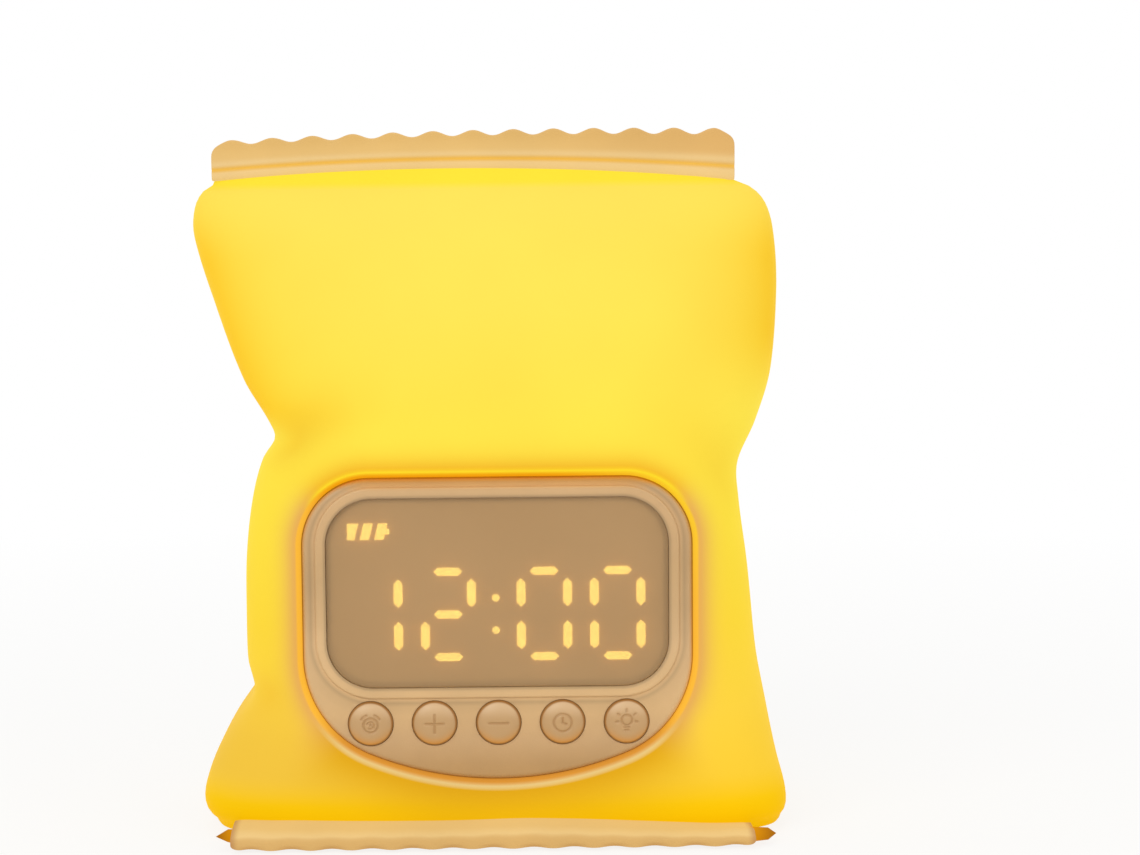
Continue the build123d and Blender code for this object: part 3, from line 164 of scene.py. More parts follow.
def seen_by(tree, *kinds):
    """1 for rays of the given kinds and 0 for all others."""
    ray = add_node(tree, "ShaderNodeLightPath")
    seen = ray.outputs[f"Is {kinds[0]} Ray"]
    for kind in kinds[1:]:
        seen = add_node(tree, "ShaderNodeMath", {"operation": "MAXIMUM"}, _0=seen,
                        _1=ray.outputs[f"Is {kind} Ray"])
    return seen


scene.world = bpy.data.worlds.new("pale_room")
sky = empty_tree(scene.world)
room = add_node(sky, "ShaderNodeBackground", Color=linear("#FFFDF8"), Strength=ROOM_STRENGTH)
white = add_node(sky, "ShaderNodeBackground", Color=linear("#FFFFFF"), Strength=1.0)
seen = seen_by(sky, "Camera", "Glossy", "Transmission")
mixed = add_node(sky, "ShaderNodeMixShader", _0=seen, _1=room, _2=white)
add_node(sky, "ShaderNodeOutputWorld", Surface=mixed)

paper = bpy.data.materials.new("matt_white_paper")
tree = empty_tree(paper)
place = add_node(tree, "ShaderNodeTexCoord").outputs["Object"]
far = add_node(tree, "ShaderNodeVectorMath", {"operation": "LENGTH"}, _0=place).outputs["Value"]
paper_white = add_node(tree, "ShaderNodeMapRange", Value=far, From_Min=FLOOR_FADE[0], From_Max=FLOOR_FADE[1],
                       To_Min=FLOOR_WHITE, To_Max=1.0)
seen = add_node(tree, "ShaderNodeMath", {"operation": "MULTIPLY"}, _0=seen_by(tree, "Camera", "Glossy"),
                _1=paper_white)
matt = add_node(tree, "ShaderNodeBsdfDiffuse", Color=linear("#F4F2EE"))
plain = add_node(tree, "ShaderNodeEmission", Color=linear("#FFFFFF"), Strength=1.0)
mixed = add_node(tree, "ShaderNodeMixShader", _0=seen, _1=matt, _2=plain)
add_node(tree, "ShaderNodeOutputMaterial", Surface=mixed)

floor_mesh = bpy.data.meshes.new("floor")
half = FLOOR_SIZE / 2
corners = [(-half, -half, 0), (half, -half, 0), (half, half, 0), (-half, half, 0)]
floor_mesh.from_pydata(corners, [], [(0, 1, 2, 3)])
floor_mesh.materials.append(paper)
floor = bpy.data.objects.new("floor", floor_mesh)
scene.collection.objects.link(floor)


def soft_lamp(name, place, size, watts, colour):
    """A square lamp at a place in metres that faces the middle of the clock."""
    lamp = bpy.data.lights.new(name, "AREA")
    lamp.shape, lamp.size, lamp.energy, lamp.color = "SQUARE", size, watts, linear(colour)[:3]
    holder = bpy.data.objects.new(name, lamp)
    holder.location = place
    holder.rotation_euler = (TARGET_MM * MM - Vector(place)).to_track_quat("-Z", "Y").to_euler()
    scene.collection.objects.link(holder)


soft_lamp("front_left_lamp", (-0.55, -0.95, 0.75), 0.8, 6.0, "#FFF8EE")
soft_lamp("front_right_lamp", (0.75, -0.75, 0.45), 0.7, 2.4, "#FFF4E6")
soft_lamp("top_lamp", (0.0, 0.25, 1.1), 0.9, 2.5, "#FFFFFF")
print("lamps", [light.name for light in bpy.data.lights])

# %% [markdown]
# ## The bag's shape
#
# The bag was cast as a hollow silicone shell. Its outline is a rounded box at every height, and four
# profiles say how that box changes on the way up: how far it reaches to the left and right, how deep it
# is and how square its corners are. The CAD model is lofted through the same profiles, so a surface
# worked out from them lies where the solid lies. A surface of formulas is smoother than the loft, and it
# can carry the folds and the rolled edge of the opening.

# %% Profiles of the bag
BAG_BASE, BAG_TOP = 2.6, 148.5
BAG_LEFT, BAG_RIGHT = 68.8, 67.9
BAG_BACK, BAG_DEPTH = 42.4, 78.8
BAG_WALL = 2.4
BAG_MIDDLE_Y = BAG_BACK - BAG_DEPTH / 2
LEFT_PROFILE = np.array([
    (0.000, 0.947), (0.016, 0.973), (0.036, 0.982), (0.062, 0.972), (0.095, 0.945), (0.135, 0.898),
    (0.172, 0.843), (0.192, 0.814), (0.212, 0.805), (0.232, 0.814), (0.258, 0.827), (0.330, 0.829),
    (0.420, 0.822), (0.515, 0.798), (0.570, 0.768), (0.602, 0.728), (0.630, 0.749), (0.695, 0.830),
    (0.835, 0.941), (0.890, 0.980), (0.931, 0.999), (0.965, 0.992), (0.988, 0.969), (1.000, 0.933),
])
RIGHT_PROFILE = np.array([
    (0.000, 0.986), (0.016, 1.000), (0.044, 0.997), (0.095, 0.972), (0.180, 0.934), (0.270, 0.895),
    (0.410, 0.865), (0.505, 0.839), (0.560, 0.837), (0.625, 0.900), (0.705, 0.959), (0.825, 0.985),
    (0.925, 0.973), (0.965, 0.948), (0.988, 0.904), (1.000, 0.845),
])
DEPTH_PROFILE = np.array([
    (0.000, 0.860), (0.016, 0.945), (0.044, 0.982), (0.120, 0.995), (0.350, 1.000), (0.520, 0.995),
    (0.600, 0.970), (0.680, 0.912), (0.780, 0.800), (0.860, 0.650), (0.920, 0.490), (0.962, 0.330),
    (0.986, 0.195), (1.000, 0.100),
])
SQUARENESS_PROFILE = np.array([(0.000, 4.6), (0.500, 4.8), (0.650, 3.8), (0.850, 2.9), (1.000, 4.0)])
CORNER_SQUARE, CORNER_HEIGHT = 1.1, 9.0     # the right corners sag and are squarer near the table


def along(profile, share):
    """Smooth curve through a profile: cubic Hermite pieces, each slope taken between the two neighbours."""
    place, value = profile[:, 0], profile[:, 1]
    before = np.maximum(np.arange(len(place)) - 1, 0)
    after = np.minimum(np.arange(len(place)) + 1, len(place) - 1)
    slope = (value[after] - value[before]) / (place[after] - place[before])
    share = np.clip(share, 0.0, 1.0)
    i = np.clip(np.searchsorted(place, share, side="right") - 1, 0, len(place) - 2)
    span = place[i + 1] - place[i]
    t = (share - place[i]) / span
    return (
        (2 * t**3 - 3 * t**2 + 1) * value[i]
        + (t**3 - 2 * t**2 + t) * span * slope[i]
        + (3 * t**2 - 2 * t**3) * value[i + 1]
        + (t**3 - t**2) * span * slope[i + 1]
    )


def bag_box(height, inset=0.0):
    """Centre across, half width, half depth and squareness of the bag's outline at a height."""
    share = (height - BAG_BASE) / (BAG_TOP - BAG_BASE)
    left = BAG_LEFT * along(LEFT_PROFILE, share) - inset
    right = BAG_RIGHT * along(RIGHT_PROFILE, share) - inset
    deep = BAG_DEPTH / 2 * along(DEPTH_PROFILE, share) - inset
    return (right - left) / 2, (left + right) / 2, deep, along(SQUARENESS_PROFILE, share)


print("waist", [round(float(v), 1) for v in bag_box(np.array([88.0]))[1]])

# %% [markdown]
# ## From formula to mesh
#
# A surface is a grid of points, so its faces only need the numbers of four neighbouring points, and a
# tube is such a grid with a cap at each end. Working out whole arrays at once is quick, and it keeps the
# shape's formula in one place.

# %% Mesh helpers


def grid_faces(rows, columns):
    """Quads of a grid of rows and columns that is closed round its columns."""
    row = np.arange(rows - 1)[:, None]
    column = np.arange(columns)[None, :]
    ahead = (column + 1) % columns
    corners = (row * columns + column, row * columns + ahead, (row + 1) * columns + ahead,
               (row + 1) * columns + column)
    return np.stack(corners, axis=-1)


def tube_faces(rings, around, turned=False):
    """Faces of a tube of rings with a cap at each end, or the same faces turned over."""
    body = grid_faces(rings, around).reshape(-1, 4)[:, ::-1].tolist()
    last = list(range((rings - 1) * around, rings * around))
    faces = [*body, list(range(around)), last[::-1]]
    return [face[::-1] for face in faces] if turned else faces


def make_piece(name, points, faces, material, colours):
    """A smooth mesh object at the origin from points in millimetres, faces and a linear colour per point."""
    mesh = bpy.data.meshes.new(name)
    mesh.from_pydata((points.reshape(-1, 3) * MM).tolist(), [], faces)
    layer = mesh.attributes.new("glow", "FLOAT_COLOR", "POINT")
    with_alpha = np.insert(colours.reshape(-1, 3), 3, 1.0, axis=1)
    layer.data.foreach_set("color", with_alpha.astype(np.float32).ravel())
    mesh.shade_smooth()
    mesh.validate()
    mesh.materials.append(material)
    piece = bpy.data.objects.new(name, mesh)
    scene.collection.objects.link(piece)
    print(name, len(mesh.vertices), "points", len(mesh.polygons), "faces")
    return piece


def smooth_step(value, low, high):
    """0 below low, 1 above high and 3t^2 - 2t^3 between."""
    t = np.clip((value - low) / (high - low), 0.0, 1.0)
    return t * t * (3 - 2 * t)


def bell(distance, width):
    """1 at no distance and falling off as exp(-(distance / width)^2)."""
    return np.exp(-((distance / width) ** 2))


def polar_point(angle, height, inset):
    """Point of the bag's outline in a direction: its radius is (|cos/a|^n + |sin/b|^n)^(-1/n)."""
    centre, wide, deep, power = bag_box(height, inset)
    cos, sin = np.cos(angle), np.sin(angle)
    power = power + CORNER_SQUARE * np.sqrt(np.clip(cos, 0.0, 1.0)) * bell(height, CORNER_HEIGHT)
    radius = (np.abs(cos / wide) ** power + np.abs(sin / deep) ** power) ** (-1 / power)
    return np.stack([centre + radius * cos, BAG_MIDDLE_Y + radius * sin, height], axis=-1)


def wall_depth(x, z, side):
    """Depth of the front (-1) or back (+1) wall at a place: b (1 - |x/a|^n)^(1/n) from the middle plane."""
    centre, wide, deep, power = bag_box(z)
    across = np.clip(np.abs((x - centre) / wide), 0.0, 0.999)
    return BAG_MIDDLE_Y + side * deep * (1 - across**power) ** (1 / power)


print("front wall at the clock", round(float(wall_depth(np.array([0.0]), np.array([48.0]), -1)[0]), 2))

# %% [markdown]
# ## The two openings
#
# The clock's opening is a rounded shield: small arcs at its top corners, wider ones at its sides and one
# long arc below. The charging port's opening is a slot. Round each opening the mesh needs rings that
# follow its edge, and further out it needs the bag's even grid. A patch joins the two: each ring is a
# blend between the opening's edge and the rectangle of grid points about it.

# %% Outlines of the openings
PANEL_X, PANEL_HALF, PANEL_TOP, PANEL_BOTTOM = 1.2, 43.4, 83.1, 15.3
TOP_RADIUS, SIDE_RADIUS, BOTTOM_RADIUS = 15.0, 24.0, 75.0
PORT_X, PORT_Z, PORT_HALF_WIDTH, PORT_HALF_HEIGHT = 34.7, 15.43, 6.17, 3.33
SOFT_GAP = 0.3                      # between a hard edge and the silicone about it
ARC_POINTS, SLOT_POINTS = 60, 120
PANEL_POINTS, PORT_POINTS = 1600, 400


def resample(points, count):
    """Evenly spaced points along a closed line."""
    closed = np.vstack([points, points[:1]])
    length = np.concatenate([[0], np.cumsum(np.linalg.norm(np.diff(closed, axis=0), axis=1))])
    want = np.linspace(0, length[-1], count, endpoint=False)
    return np.stack([np.interp(want, length, closed[:, k]) for k in (0, 1)], axis=-1)


def panel_outline(grow):
    """Shield of five arcs: each point stands off its arc's centre in the direction of its normal."""
    side_x = PANEL_HALF - SIDE_RADIUS
    reach = BOTTOM_RADIUS - SIDE_RADIUS
    bottom_z = PANEL_BOTTOM + BOTTOM_RADIUS
    side_z = bottom_z - math.sqrt(reach**2 - side_x**2)
    lean = math.asin(side_x / reach)
    corner_x, corner_z = PANEL_HALF - TOP_RADIUS, PANEL_TOP - TOP_RADIUS
    arcs = (
        (0.0, math.pi / 2, corner_x, corner_z, TOP_RADIUS),
        (math.pi / 2, math.pi, -corner_x, corner_z, TOP_RADIUS),
        (math.pi, 1.5 * math.pi - lean, -side_x, side_z, SIDE_RADIUS),
        (1.5 * math.pi - lean, 1.5 * math.pi + lean, 0.0, bottom_z, BOTTOM_RADIUS),
        (1.5 * math.pi + lean, 2 * math.pi, side_x, side_z, SIDE_RADIUS),
    )
    pieces = []
    for start, end, x, z, radius in arcs:
        angle = np.linspace(start, end, ARC_POINTS)
        pieces.append((x, z) + (radius + grow) * np.stack([np.cos(angle), np.sin(angle)], axis=-1))
    return resample(np.vstack(pieces), PANEL_POINTS) + (PANEL_X, 0.0)


def port_outline(grow):
    """Slot: two half circles joined by straight edges."""
    angle = np.linspace(0, 2 * math.pi, SLOT_POINTS, endpoint=False)
    radius = PORT_HALF_HEIGHT + grow
    straight = PORT_HALF_WIDTH - PORT_HALF_HEIGHT
    x = np.where(np.cos(angle) >= 0, straight, -straight) + radius * np.cos(angle)
    return resample(np.stack([x, radius * np.sin(angle)], -1), PORT_POINTS) + (PORT_X, PORT_Z)


print("panel edge", np.round(panel_outline(0.0).min(0), 1), np.round(panel_outline(0.0).max(0), 1))

# %% [markdown]
# ## Folds, and where the light gets through
#
# Silicone this thick creases softly: the bag is pinched at its waist and low on its left, and each pinch
# runs a short way into the front and the back before it fades. A fold is a line with a depth and a
# width, and the wall sinks by depth times a bell curve of the distance to it.
#
# The silicone's colour is worked out per point as well, because it depends on how far the light comes:
# even and pale high up, deeper where the wall turns away at the sides, and dull round the hard module.

# %% Fold formulas
# start across, start height, end across, end height, depth, width at the start, width at the end
FRONT_FOLDS = np.array([
    (-50.0, 90.4, -30.0, 99.0, 2.6, 3.0, 9.0),
    (-52.0, 89.0, -40.0, 86.0, 1.2, 3.0, 6.0),
    (-56.0, 32.6, -44.0, 36.5, 2.4, 3.2, 5.0),
    (56.0, 80.0, 38.0, 101.0, 1.4, 5.0, 11.0),
])
BACK_FOLDS = np.array([
    (-50.0, 90.4, -22.0, 97.0, 2.6, 3.0, 9.0),
    (-56.0, 33.0, -30.0, 39.0, 2.4, 3.4, 7.0),
    (56.0, 80.0, 30.0, 93.0, 1.8, 5.0, 9.0),
    (-10.0, 61.0, 24.0, 69.0, 1.0, 8.0, 10.0),
])
FOLD_FADE = 0.75            # share of its depth that a fold has lost at its end
PLACES_AT_ONCE = 4000       # the distances of all places in one table would fill the memory
OUTLINE_STEP = 4            # every fourth point of an outline is near enough for a distance


def run_distance(x, z, start, end):
    """How far along a straight run each place lies, from 0 to 1, and its distance to the run."""
    run = np.subtract(end, start)
    t = np.clip(((x - start[0]) * run[0] + (z - start[1]) * run[1]) / (run @ run), 0.0, 1.0)
    return t, np.hypot(x - start[0] - t * run[0], z - start[1] - t * run[1])


def fold_sink(x, z, folds):
    """Depth to which the folds sink a place: depth * exp(-(distance / width)^2), fading along each run."""
    total = np.zeros_like(x)
    for x0, z0, x1, z1, depth, wide0, wide1 in folds:
        t, distance = run_distance(x, z, (x0, z0), (x1, z1))
        total += depth * (1 - FOLD_FADE * t**1.5) * bell(distance, wide0 + (wide1 - wide0) * t)
    return total


def edge_distance(x, z, outline):
    """Distance from places to the nearest point of an outline."""
    places = np.stack([x, z], axis=-1).reshape(-1, 1, 2)
    nearest = np.concatenate([
        np.linalg.norm(block - outline[None, ::OUTLINE_STEP], axis=-1).min(axis=1)
        for block in np.array_split(places, max(1, len(places) // PLACES_AT_ONCE))
    ])
    return nearest.reshape(np.shape(x))


waist = fold_sink(np.array([-49.0]), np.array([90.4]), FRONT_FOLDS)
print("waist fold sinks", round(float(waist[0]), 2), "mm")

# %% [markdown]
# ## Building the silicone skin
#
# The skin is one sheet: it starts at the lip under the base, hangs round the base cover as a thin hem,
# climbs the body and ends in the neck that the top strip grips. Its grid runs round the bag and up it.
# Two rectangles of the grid are left out and filled with the patches of rings. Round the clock the last
# rings roll inward with a radius as thick as the wall. Solidify then gives the sheet its real wall.

# %% Grid of the skin
COLUMNS = 300
ROW_STEP, LAST_STEP = 1.3, 0.6      # millimetres between rows, and the least between the last two
NECK_STEPS, NECK_HALF_THICKNESS = 7, 2.5
NECK_END_IN, NECK_INTO_STRIP = 1.0, 1.5
NECK_THIN_AT = 0.8                  # share of the way up at which the neck has its final thickness
STRIP_LOW_MIDDLE, STRIP_LOW_RISE, STRIP_LOW_LEAN = 151.6, 2.8, -0.5
# Rows of the lip under the base and of the hem that hangs round the base cover: inset and height.
HEM_ROWS = np.array([
    (6.5, 2.6), (5.0, 2.6), (3.4, 2.6), (2.3, 2.55), (1.95, 2.2), (1.85, 1.75), (1.62, 1.35), (1.15, 1.12),
    (0.66, 1.26), (0.26, 1.85), (0.05, 2.9), (0.0, 4.1),
])
HEM_WALL_SHARE = np.array([1.0, 1.0, 0.7, 0.25, 0.08, 0.05, 0.05, 0.05, 0.06, 0.1, 0.35, 0.8])

body_heights = np.arange(HEM_ROWS[-1, 1] + ROW_STEP, BAG_TOP - LAST_STEP, ROW_STEP)
row_heights = np.concatenate([HEM_ROWS[:, 1], body_heights, [BAG_TOP]])
row_insets = np.concatenate([HEM_ROWS[:, 0], np.zeros(len(body_heights) + 1)])
grid_angle, grid_height = np.meshgrid(2 * math.pi * np.arange(COLUMNS) / COLUMNS, row_heights)
skin = polar_point(grid_angle, grid_height, row_insets[:, None])


def strip_low_edge(s):
    """Height of the top strip's lower edge: middle - rise s^2 + lean s, with s from -1 to 1 along it."""
    return STRIP_LOW_MIDDLE - STRIP_LOW_RISE * s**2 + STRIP_LOW_LEAN * s


# The neck's rows go from the top row of the body to a thin slot that reaches into the strip.
top_x, top_y = skin[-1, :, 0], skin[-1, :, 1] - BAG_MIDDLE_Y
left_end, right_end = top_x.min() + NECK_END_IN, top_x.max() - NECK_END_IN
share = np.arange(1, NECK_STEPS + 1)[:, None] / NECK_STEPS
neck_x = top_x + (np.clip(top_x, left_end, right_end) - top_x) * share
neck_s = (neck_x - (left_end + right_end) / 2) / ((right_end - left_end) / 2)
lift = strip_low_edge(neck_s) + NECK_INTO_STRIP - BAG_TOP
thin = top_y / np.abs(top_y).max() * NECK_HALF_THICKNESS
neck_y = top_y + (thin - top_y) * smooth_step(share, 0.0, NECK_THIN_AT)
skin = np.concatenate([skin, np.stack([neck_x, BAG_MIDDLE_Y + neck_y, BAG_TOP + lift * share], axis=-1)])
ROWS = len(skin)
print("skin grid", ROWS, "rows by", COLUMNS, "columns")

# %% [markdown]
# The patch of an opening works in the plane of the front or the back wall. Each point on the rectangle's
# edge is paired with the point of the outline that lies in the same direction from the opening's middle,
# and the rings between them crowd towards the outline, where the shape changes most.

# %% Patches round the openings
LIP_RADIUS, PORT_LIP_RADIUS = 2.4, 0.8
LIP_STEPS = 7
PATCH_RINGS, RING_CROWDING = 10, 1.4
CLOCK_MIDDLE, PORT_MIDDLE = (PANEL_X, 49.4), (PORT_X, PORT_Z)
# the rectangle that each patch fills: first column, last column, lowest height, highest height
CLOCK_FIELD, PORT_FIELD = (178, 272, 9.0, 90.5), (35, 48, 9.0, 22.0)


def window_patch(outline_at, middle, side, field, radius):
    """Rings from a rectangle of grid points to an opening, then the rolled lip: radius (1 - cos) deep."""
    hem = len(HEM_ROWS)
    left, right = field[:2]
    low, high = (hem + np.searchsorted(row_heights[hem:], field[2:])).tolist()
    rows, columns = np.arange(low, high), np.arange(left, right)
    edges = ((low, columns), (rows, right), (high, columns[::-1] + 1), (rows[::-1] + 1, left))
    border = np.concatenate([np.stack(np.broadcast_arrays(*edge), axis=-1) for edge in edges])
    outer = skin[border[:, 0], border[:, 1]][:, (0, 2)]
    direction = np.arctan2(outer[:, 1] - middle[1], outer[:, 0] - middle[0])
    ray = np.stack([np.cos(direction), np.sin(direction)], axis=-1)

    def edge_at(grow):
        """Point of the grown outline in the direction of each border point."""
        line = outline_at(grow) - middle
        angle = np.arctan2(line[:, 1], line[:, 0])
        order = np.argsort(angle)
        far = np.hypot(line[:, 0], line[:, 1])
        return middle + np.interp(direction, angle[order], far[order], period=2 * math.pi)[:, None] * ray

    start = edge_at(SOFT_GAP + radius)
    shares = (np.arange(PATCH_RINGS) / PATCH_RINGS)[::-1] ** RING_CROWDING
    turns = np.linspace(0, math.pi / 2, LIP_STEPS + 1)[1:]
    rings = [start + share * (outer - start) for share in shares]
    rings += [edge_at(SOFT_GAP + radius * (1 - math.sin(turn))) for turn in turns]
    x, z = np.moveaxis(np.array(rings), -1, 0)
    sinks = np.concatenate([np.zeros(PATCH_RINGS), radius * (1 - np.cos(turns))])
    sinks = np.repeat(sinks[:, None], len(outer), axis=1)
    return border, np.stack([x, wall_depth(x, z, side), z], axis=-1), sinks, (low, high, left, right)


clock_patch = window_patch(panel_outline, CLOCK_MIDDLE, -1, CLOCK_FIELD, LIP_RADIUS)
port_patch = window_patch(port_outline, PORT_MIDDLE, 1, PORT_FIELD, PORT_LIP_RADIUS)
print("clock patch", clock_patch[1].shape, "port patch", port_patch[1].shape)

# %% [markdown]
# Now the parts are joined into one list of points and faces, the folds are pressed in and the lips are
# rolled. Round the clock the wall also swells forward a little, because the silicone is pushed out by
# the module's flange behind it.

# %% Join and fold the skin
SWELL_FRONT, SWELL_REACH = -35.9, 7.0
FACING = (0.05, 0.7)                # how squarely a wall faces forward or back where its folds set in
FOLDS_SET_IN, FOLDS_END = (6.0, 14.0), (132.0, 146.0)
RIPPLE_DEPTH, RIPPLE_MM = 0.25, (9.0, 23.0, 11.0, 31.0)
PORT_CALM = 14.0                    # folds and ripples stay this far from the port

quads = grid_faces(ROWS, COLUMNS)
keep = np.ones(quads.shape[:2], bool)
point_blocks, face_blocks = [skin.reshape(-1, 3)], []
sink_blocks, rim_blocks = [np.zeros(ROWS * COLUMNS)], [np.zeros(ROWS * COLUMNS)]
offset = ROWS * COLUMNS
for border, patch, sinks, (low, high, left, right) in (clock_patch, port_patch):
    keep[low:high, left:right] = False
    numbers = offset + np.arange(sinks.size).reshape(sinks.shape)
    numbers = np.vstack([border[:, 0] * COLUMNS + border[:, 1], numbers])
    ahead = np.roll(numbers, -1, axis=1)
    ring_quads = np.stack([numbers[:-1], ahead[:-1], ahead[1:], numbers[1:]], axis=-1)
    face_blocks.append(ring_quads.reshape(-1, 4))
    point_blocks.append(patch.reshape(-1, 3))
    sink_blocks.append(sinks.ravel())
    rim_blocks.append(sinks.ravel() / sinks.max())
    offset += sinks.size
points = np.vstack(point_blocks)
faces = np.vstack([quads[keep].reshape(-1, 4), *face_blocks])
lip_sink, rim = np.concatenate(sink_blocks), np.concatenate(rim_blocks)

# The outward direction of a rounded box is the slope of |x/a|^n + |y/b|^n.
x, y, z = points.T.copy()
centre, wide, deep, power = bag_box(z)
across, depth = (x - centre) / wide, (y - BAG_MIDDLE_Y) / deep
outward = np.stack([np.sign(across) * np.abs(across) ** (power - 1) / wide,
                    np.sign(depth) * np.abs(depth) ** (power - 1) / deep], axis=-1)
outward /= np.maximum(np.linalg.norm(outward, axis=1, keepdims=True), 1e-9)
body = smooth_step(z, *FOLDS_SET_IN) * (1 - smooth_step(z, *FOLDS_END))
front_sink = smooth_step(-outward[:, 1], *FACING) * fold_sink(x, z, FRONT_FOLDS)
back_sink = smooth_step(outward[:, 1], *FACING) * fold_sink(x, z, BACK_FOLDS)
ripple = np.sin(x / RIPPLE_MM[0] + z / RIPPLE_MM[1]) * np.cos(z / RIPPLE_MM[2] - x / RIPPLE_MM[3])
gap = edge_distance(x, z, panel_outline(SOFT_GAP))
near = bell(gap, SWELL_REACH) * (y < BAG_MIDDLE_Y)
port_near = np.exp(-((np.hypot(x - PORT_X, z - PORT_Z) / PORT_CALM) ** 4)) * (y > BAG_MIDDLE_Y)
sink = (front_sink + back_sink + RIPPLE_DEPTH * ripple) * body * (1 - near) * (1 - port_near)
points[:, :2] -= sink[:, None] * outward
points[:, 1] += near * (SWELL_FRONT - points[:, 1])
points[:, 1] += np.where(y < BAG_MIDDLE_Y, lip_sink, -lip_sink)
print("skin box", np.round(points.min(0), 1), np.round(points.max(0), 1))

# %% [markdown]
# The wall's own light follows the lamp: palest in the upper body, yellower at the waist and amber near
# the table, where the wall is far from the lamp. A wall that turns away shows more silicone in the line
# of sight, so it is deeper. The folds get a painted shade of deeper orange. Behind the edge of the clock's
# opening the module's flange keeps the light off, which leaves a dull halo of painted shade, and the rolled
# lip glows with light from its own end, brightest at its upper right. Its crest carries a painted
# highlight: a bright line at the top and a cream one at the bottom.

# %% Light on the skin
# height above the table and the colour of the wall's light there
LIGHT_BY_HEIGHT = (
    (0.0, "#F4BC00"), (4.0, "#FCC400"), (9.0, "#FCCA08"), (15.0, "#FCD038"), (30.0, "#FED642"),
    (50.0, "#FFDC3C"), (75.0, "#FFE342"), (95.0, "#FFE64C"), (120.0, "#FFE657"), (147.6, "#FFE45C"),
    (148.6, "#FFE63C"),
)
EDGE_LIGHT, EDGE_REACH, EDGE_SHARE = "#FCC408", 11.0, 0.95
# heights between which the deeper light at the two side edges sets in, and where most of it goes again
EDGE_START_LEFT, EDGE_START_RIGHT, EDGE_FADE = (90.5, 99.0), (95.0, 116.0), (130.0, 147.0)
EDGE_FADE_SHARE = 0.8
EDGE_DEPTH, EDGE_FLAT_SHARE = (0.05, 0.55), 0.4     # it is weaker in the middle plane of the bag
LOW_LEFT_LIGHT, LOW_LEFT_SHARE = "#F0C244", 0.7
LOW_LEFT_ACROSS, LOW_LEFT_FOOT, LOW_LEFT_HEAD = (5.0, 55.0), (9.0, 17.0), (22.0, 42.0)
# painted shade in the folds: a deeper orange, mixed in by how far each fold sinks
CREASE_SHADE, CREASE_SHARE = "#F2B81C", 0.16       # share for each millimetre that a fold sinks
HALO_SIDE, HALO_TOP, HALO_BOTTOM = "#E6AE5C", "#F2B424", "#E2A818"
HALO_REACH, HALO_MORE_TOP, HALO_MORE_BOTTOM = 3.0, 0.2, 5.0
ROLL_SIDE, ROLL_RIGHT, ROLL_TOP, ROLL_BOTTOM = "#FFBE3C", "#FFD42C", "#F8A810", "#E09838"
ROLL_START = (0.06, 0.22)                          # shares of the way in over the rolled lip
ROLL_RIGHT_SHARE, ROLL_RIGHT_ACROSS, ROLL_RIGHT_UP = 0.8, (10.0, 40.0), (50.0, 80.0)
# painted highlights on the crest of the rolled lip, at the top and at the bottom: colour, place and width
CREST_TOP_HIGHLIGHT, CREST_TOP_AT, CREST_TOP_WIDTH = "#FFE02C", 0.12, 0.09
CREST_BOTTOM_HIGHLIGHT, CREST_BOTTOM_AT, CREST_BOTTOM_WIDTH = "#EACA84", 0.1, 0.12
# how far a place lies more above or below the opening's middle than beside it, as a share of its half size
TOP_SIDE, BOTTOM_SIDE = (-0.25, 0.1), (-0.45, 0.05)


def tone(code):
    """Linear colour of a hex value as an array of three."""
    return np.array(linear(code)[:3])


def paint(ground, *layers):
    """Colours per point: a ground, then layer after layer of a colour mixed in by its share per point."""
    for colour, share in layers:
        colour = tone(colour) if isinstance(colour, str) else colour
        ground = ground + (colour - ground) * np.clip(share, 0.0, 1.0)[..., None]
    return ground


def light_at(height):
    """Colour of the wall's light at heights, straight between the values given by height."""
    places = [place for place, _ in LIGHT_BY_HEIGHT]
    tones = np.array([tone(code) for _, code in LIGHT_BY_HEIGHT])
    return np.stack([np.interp(height, places, tones[:, channel]) for channel in range(3)], axis=-1)


turned = np.exp(-wide * (1 - np.minimum(np.abs(across), 1.0)) / EDGE_REACH)
turned *= np.where(x < 0, smooth_step(z, *EDGE_START_LEFT), smooth_step(z, *EDGE_START_RIGHT))
turned *= 1 - EDGE_FADE_SHARE * smooth_step(z, *EDGE_FADE)
turned *= EDGE_FLAT_SHARE + (1 - EDGE_FLAT_SHARE) * smooth_step(np.abs(depth), *EDGE_DEPTH)
low_left = smooth_step(-x, *LOW_LEFT_ACROSS) * smooth_step(z, *LOW_LEFT_FOOT)
low_left *= 1 - smooth_step(z, *LOW_LEFT_HEAD)

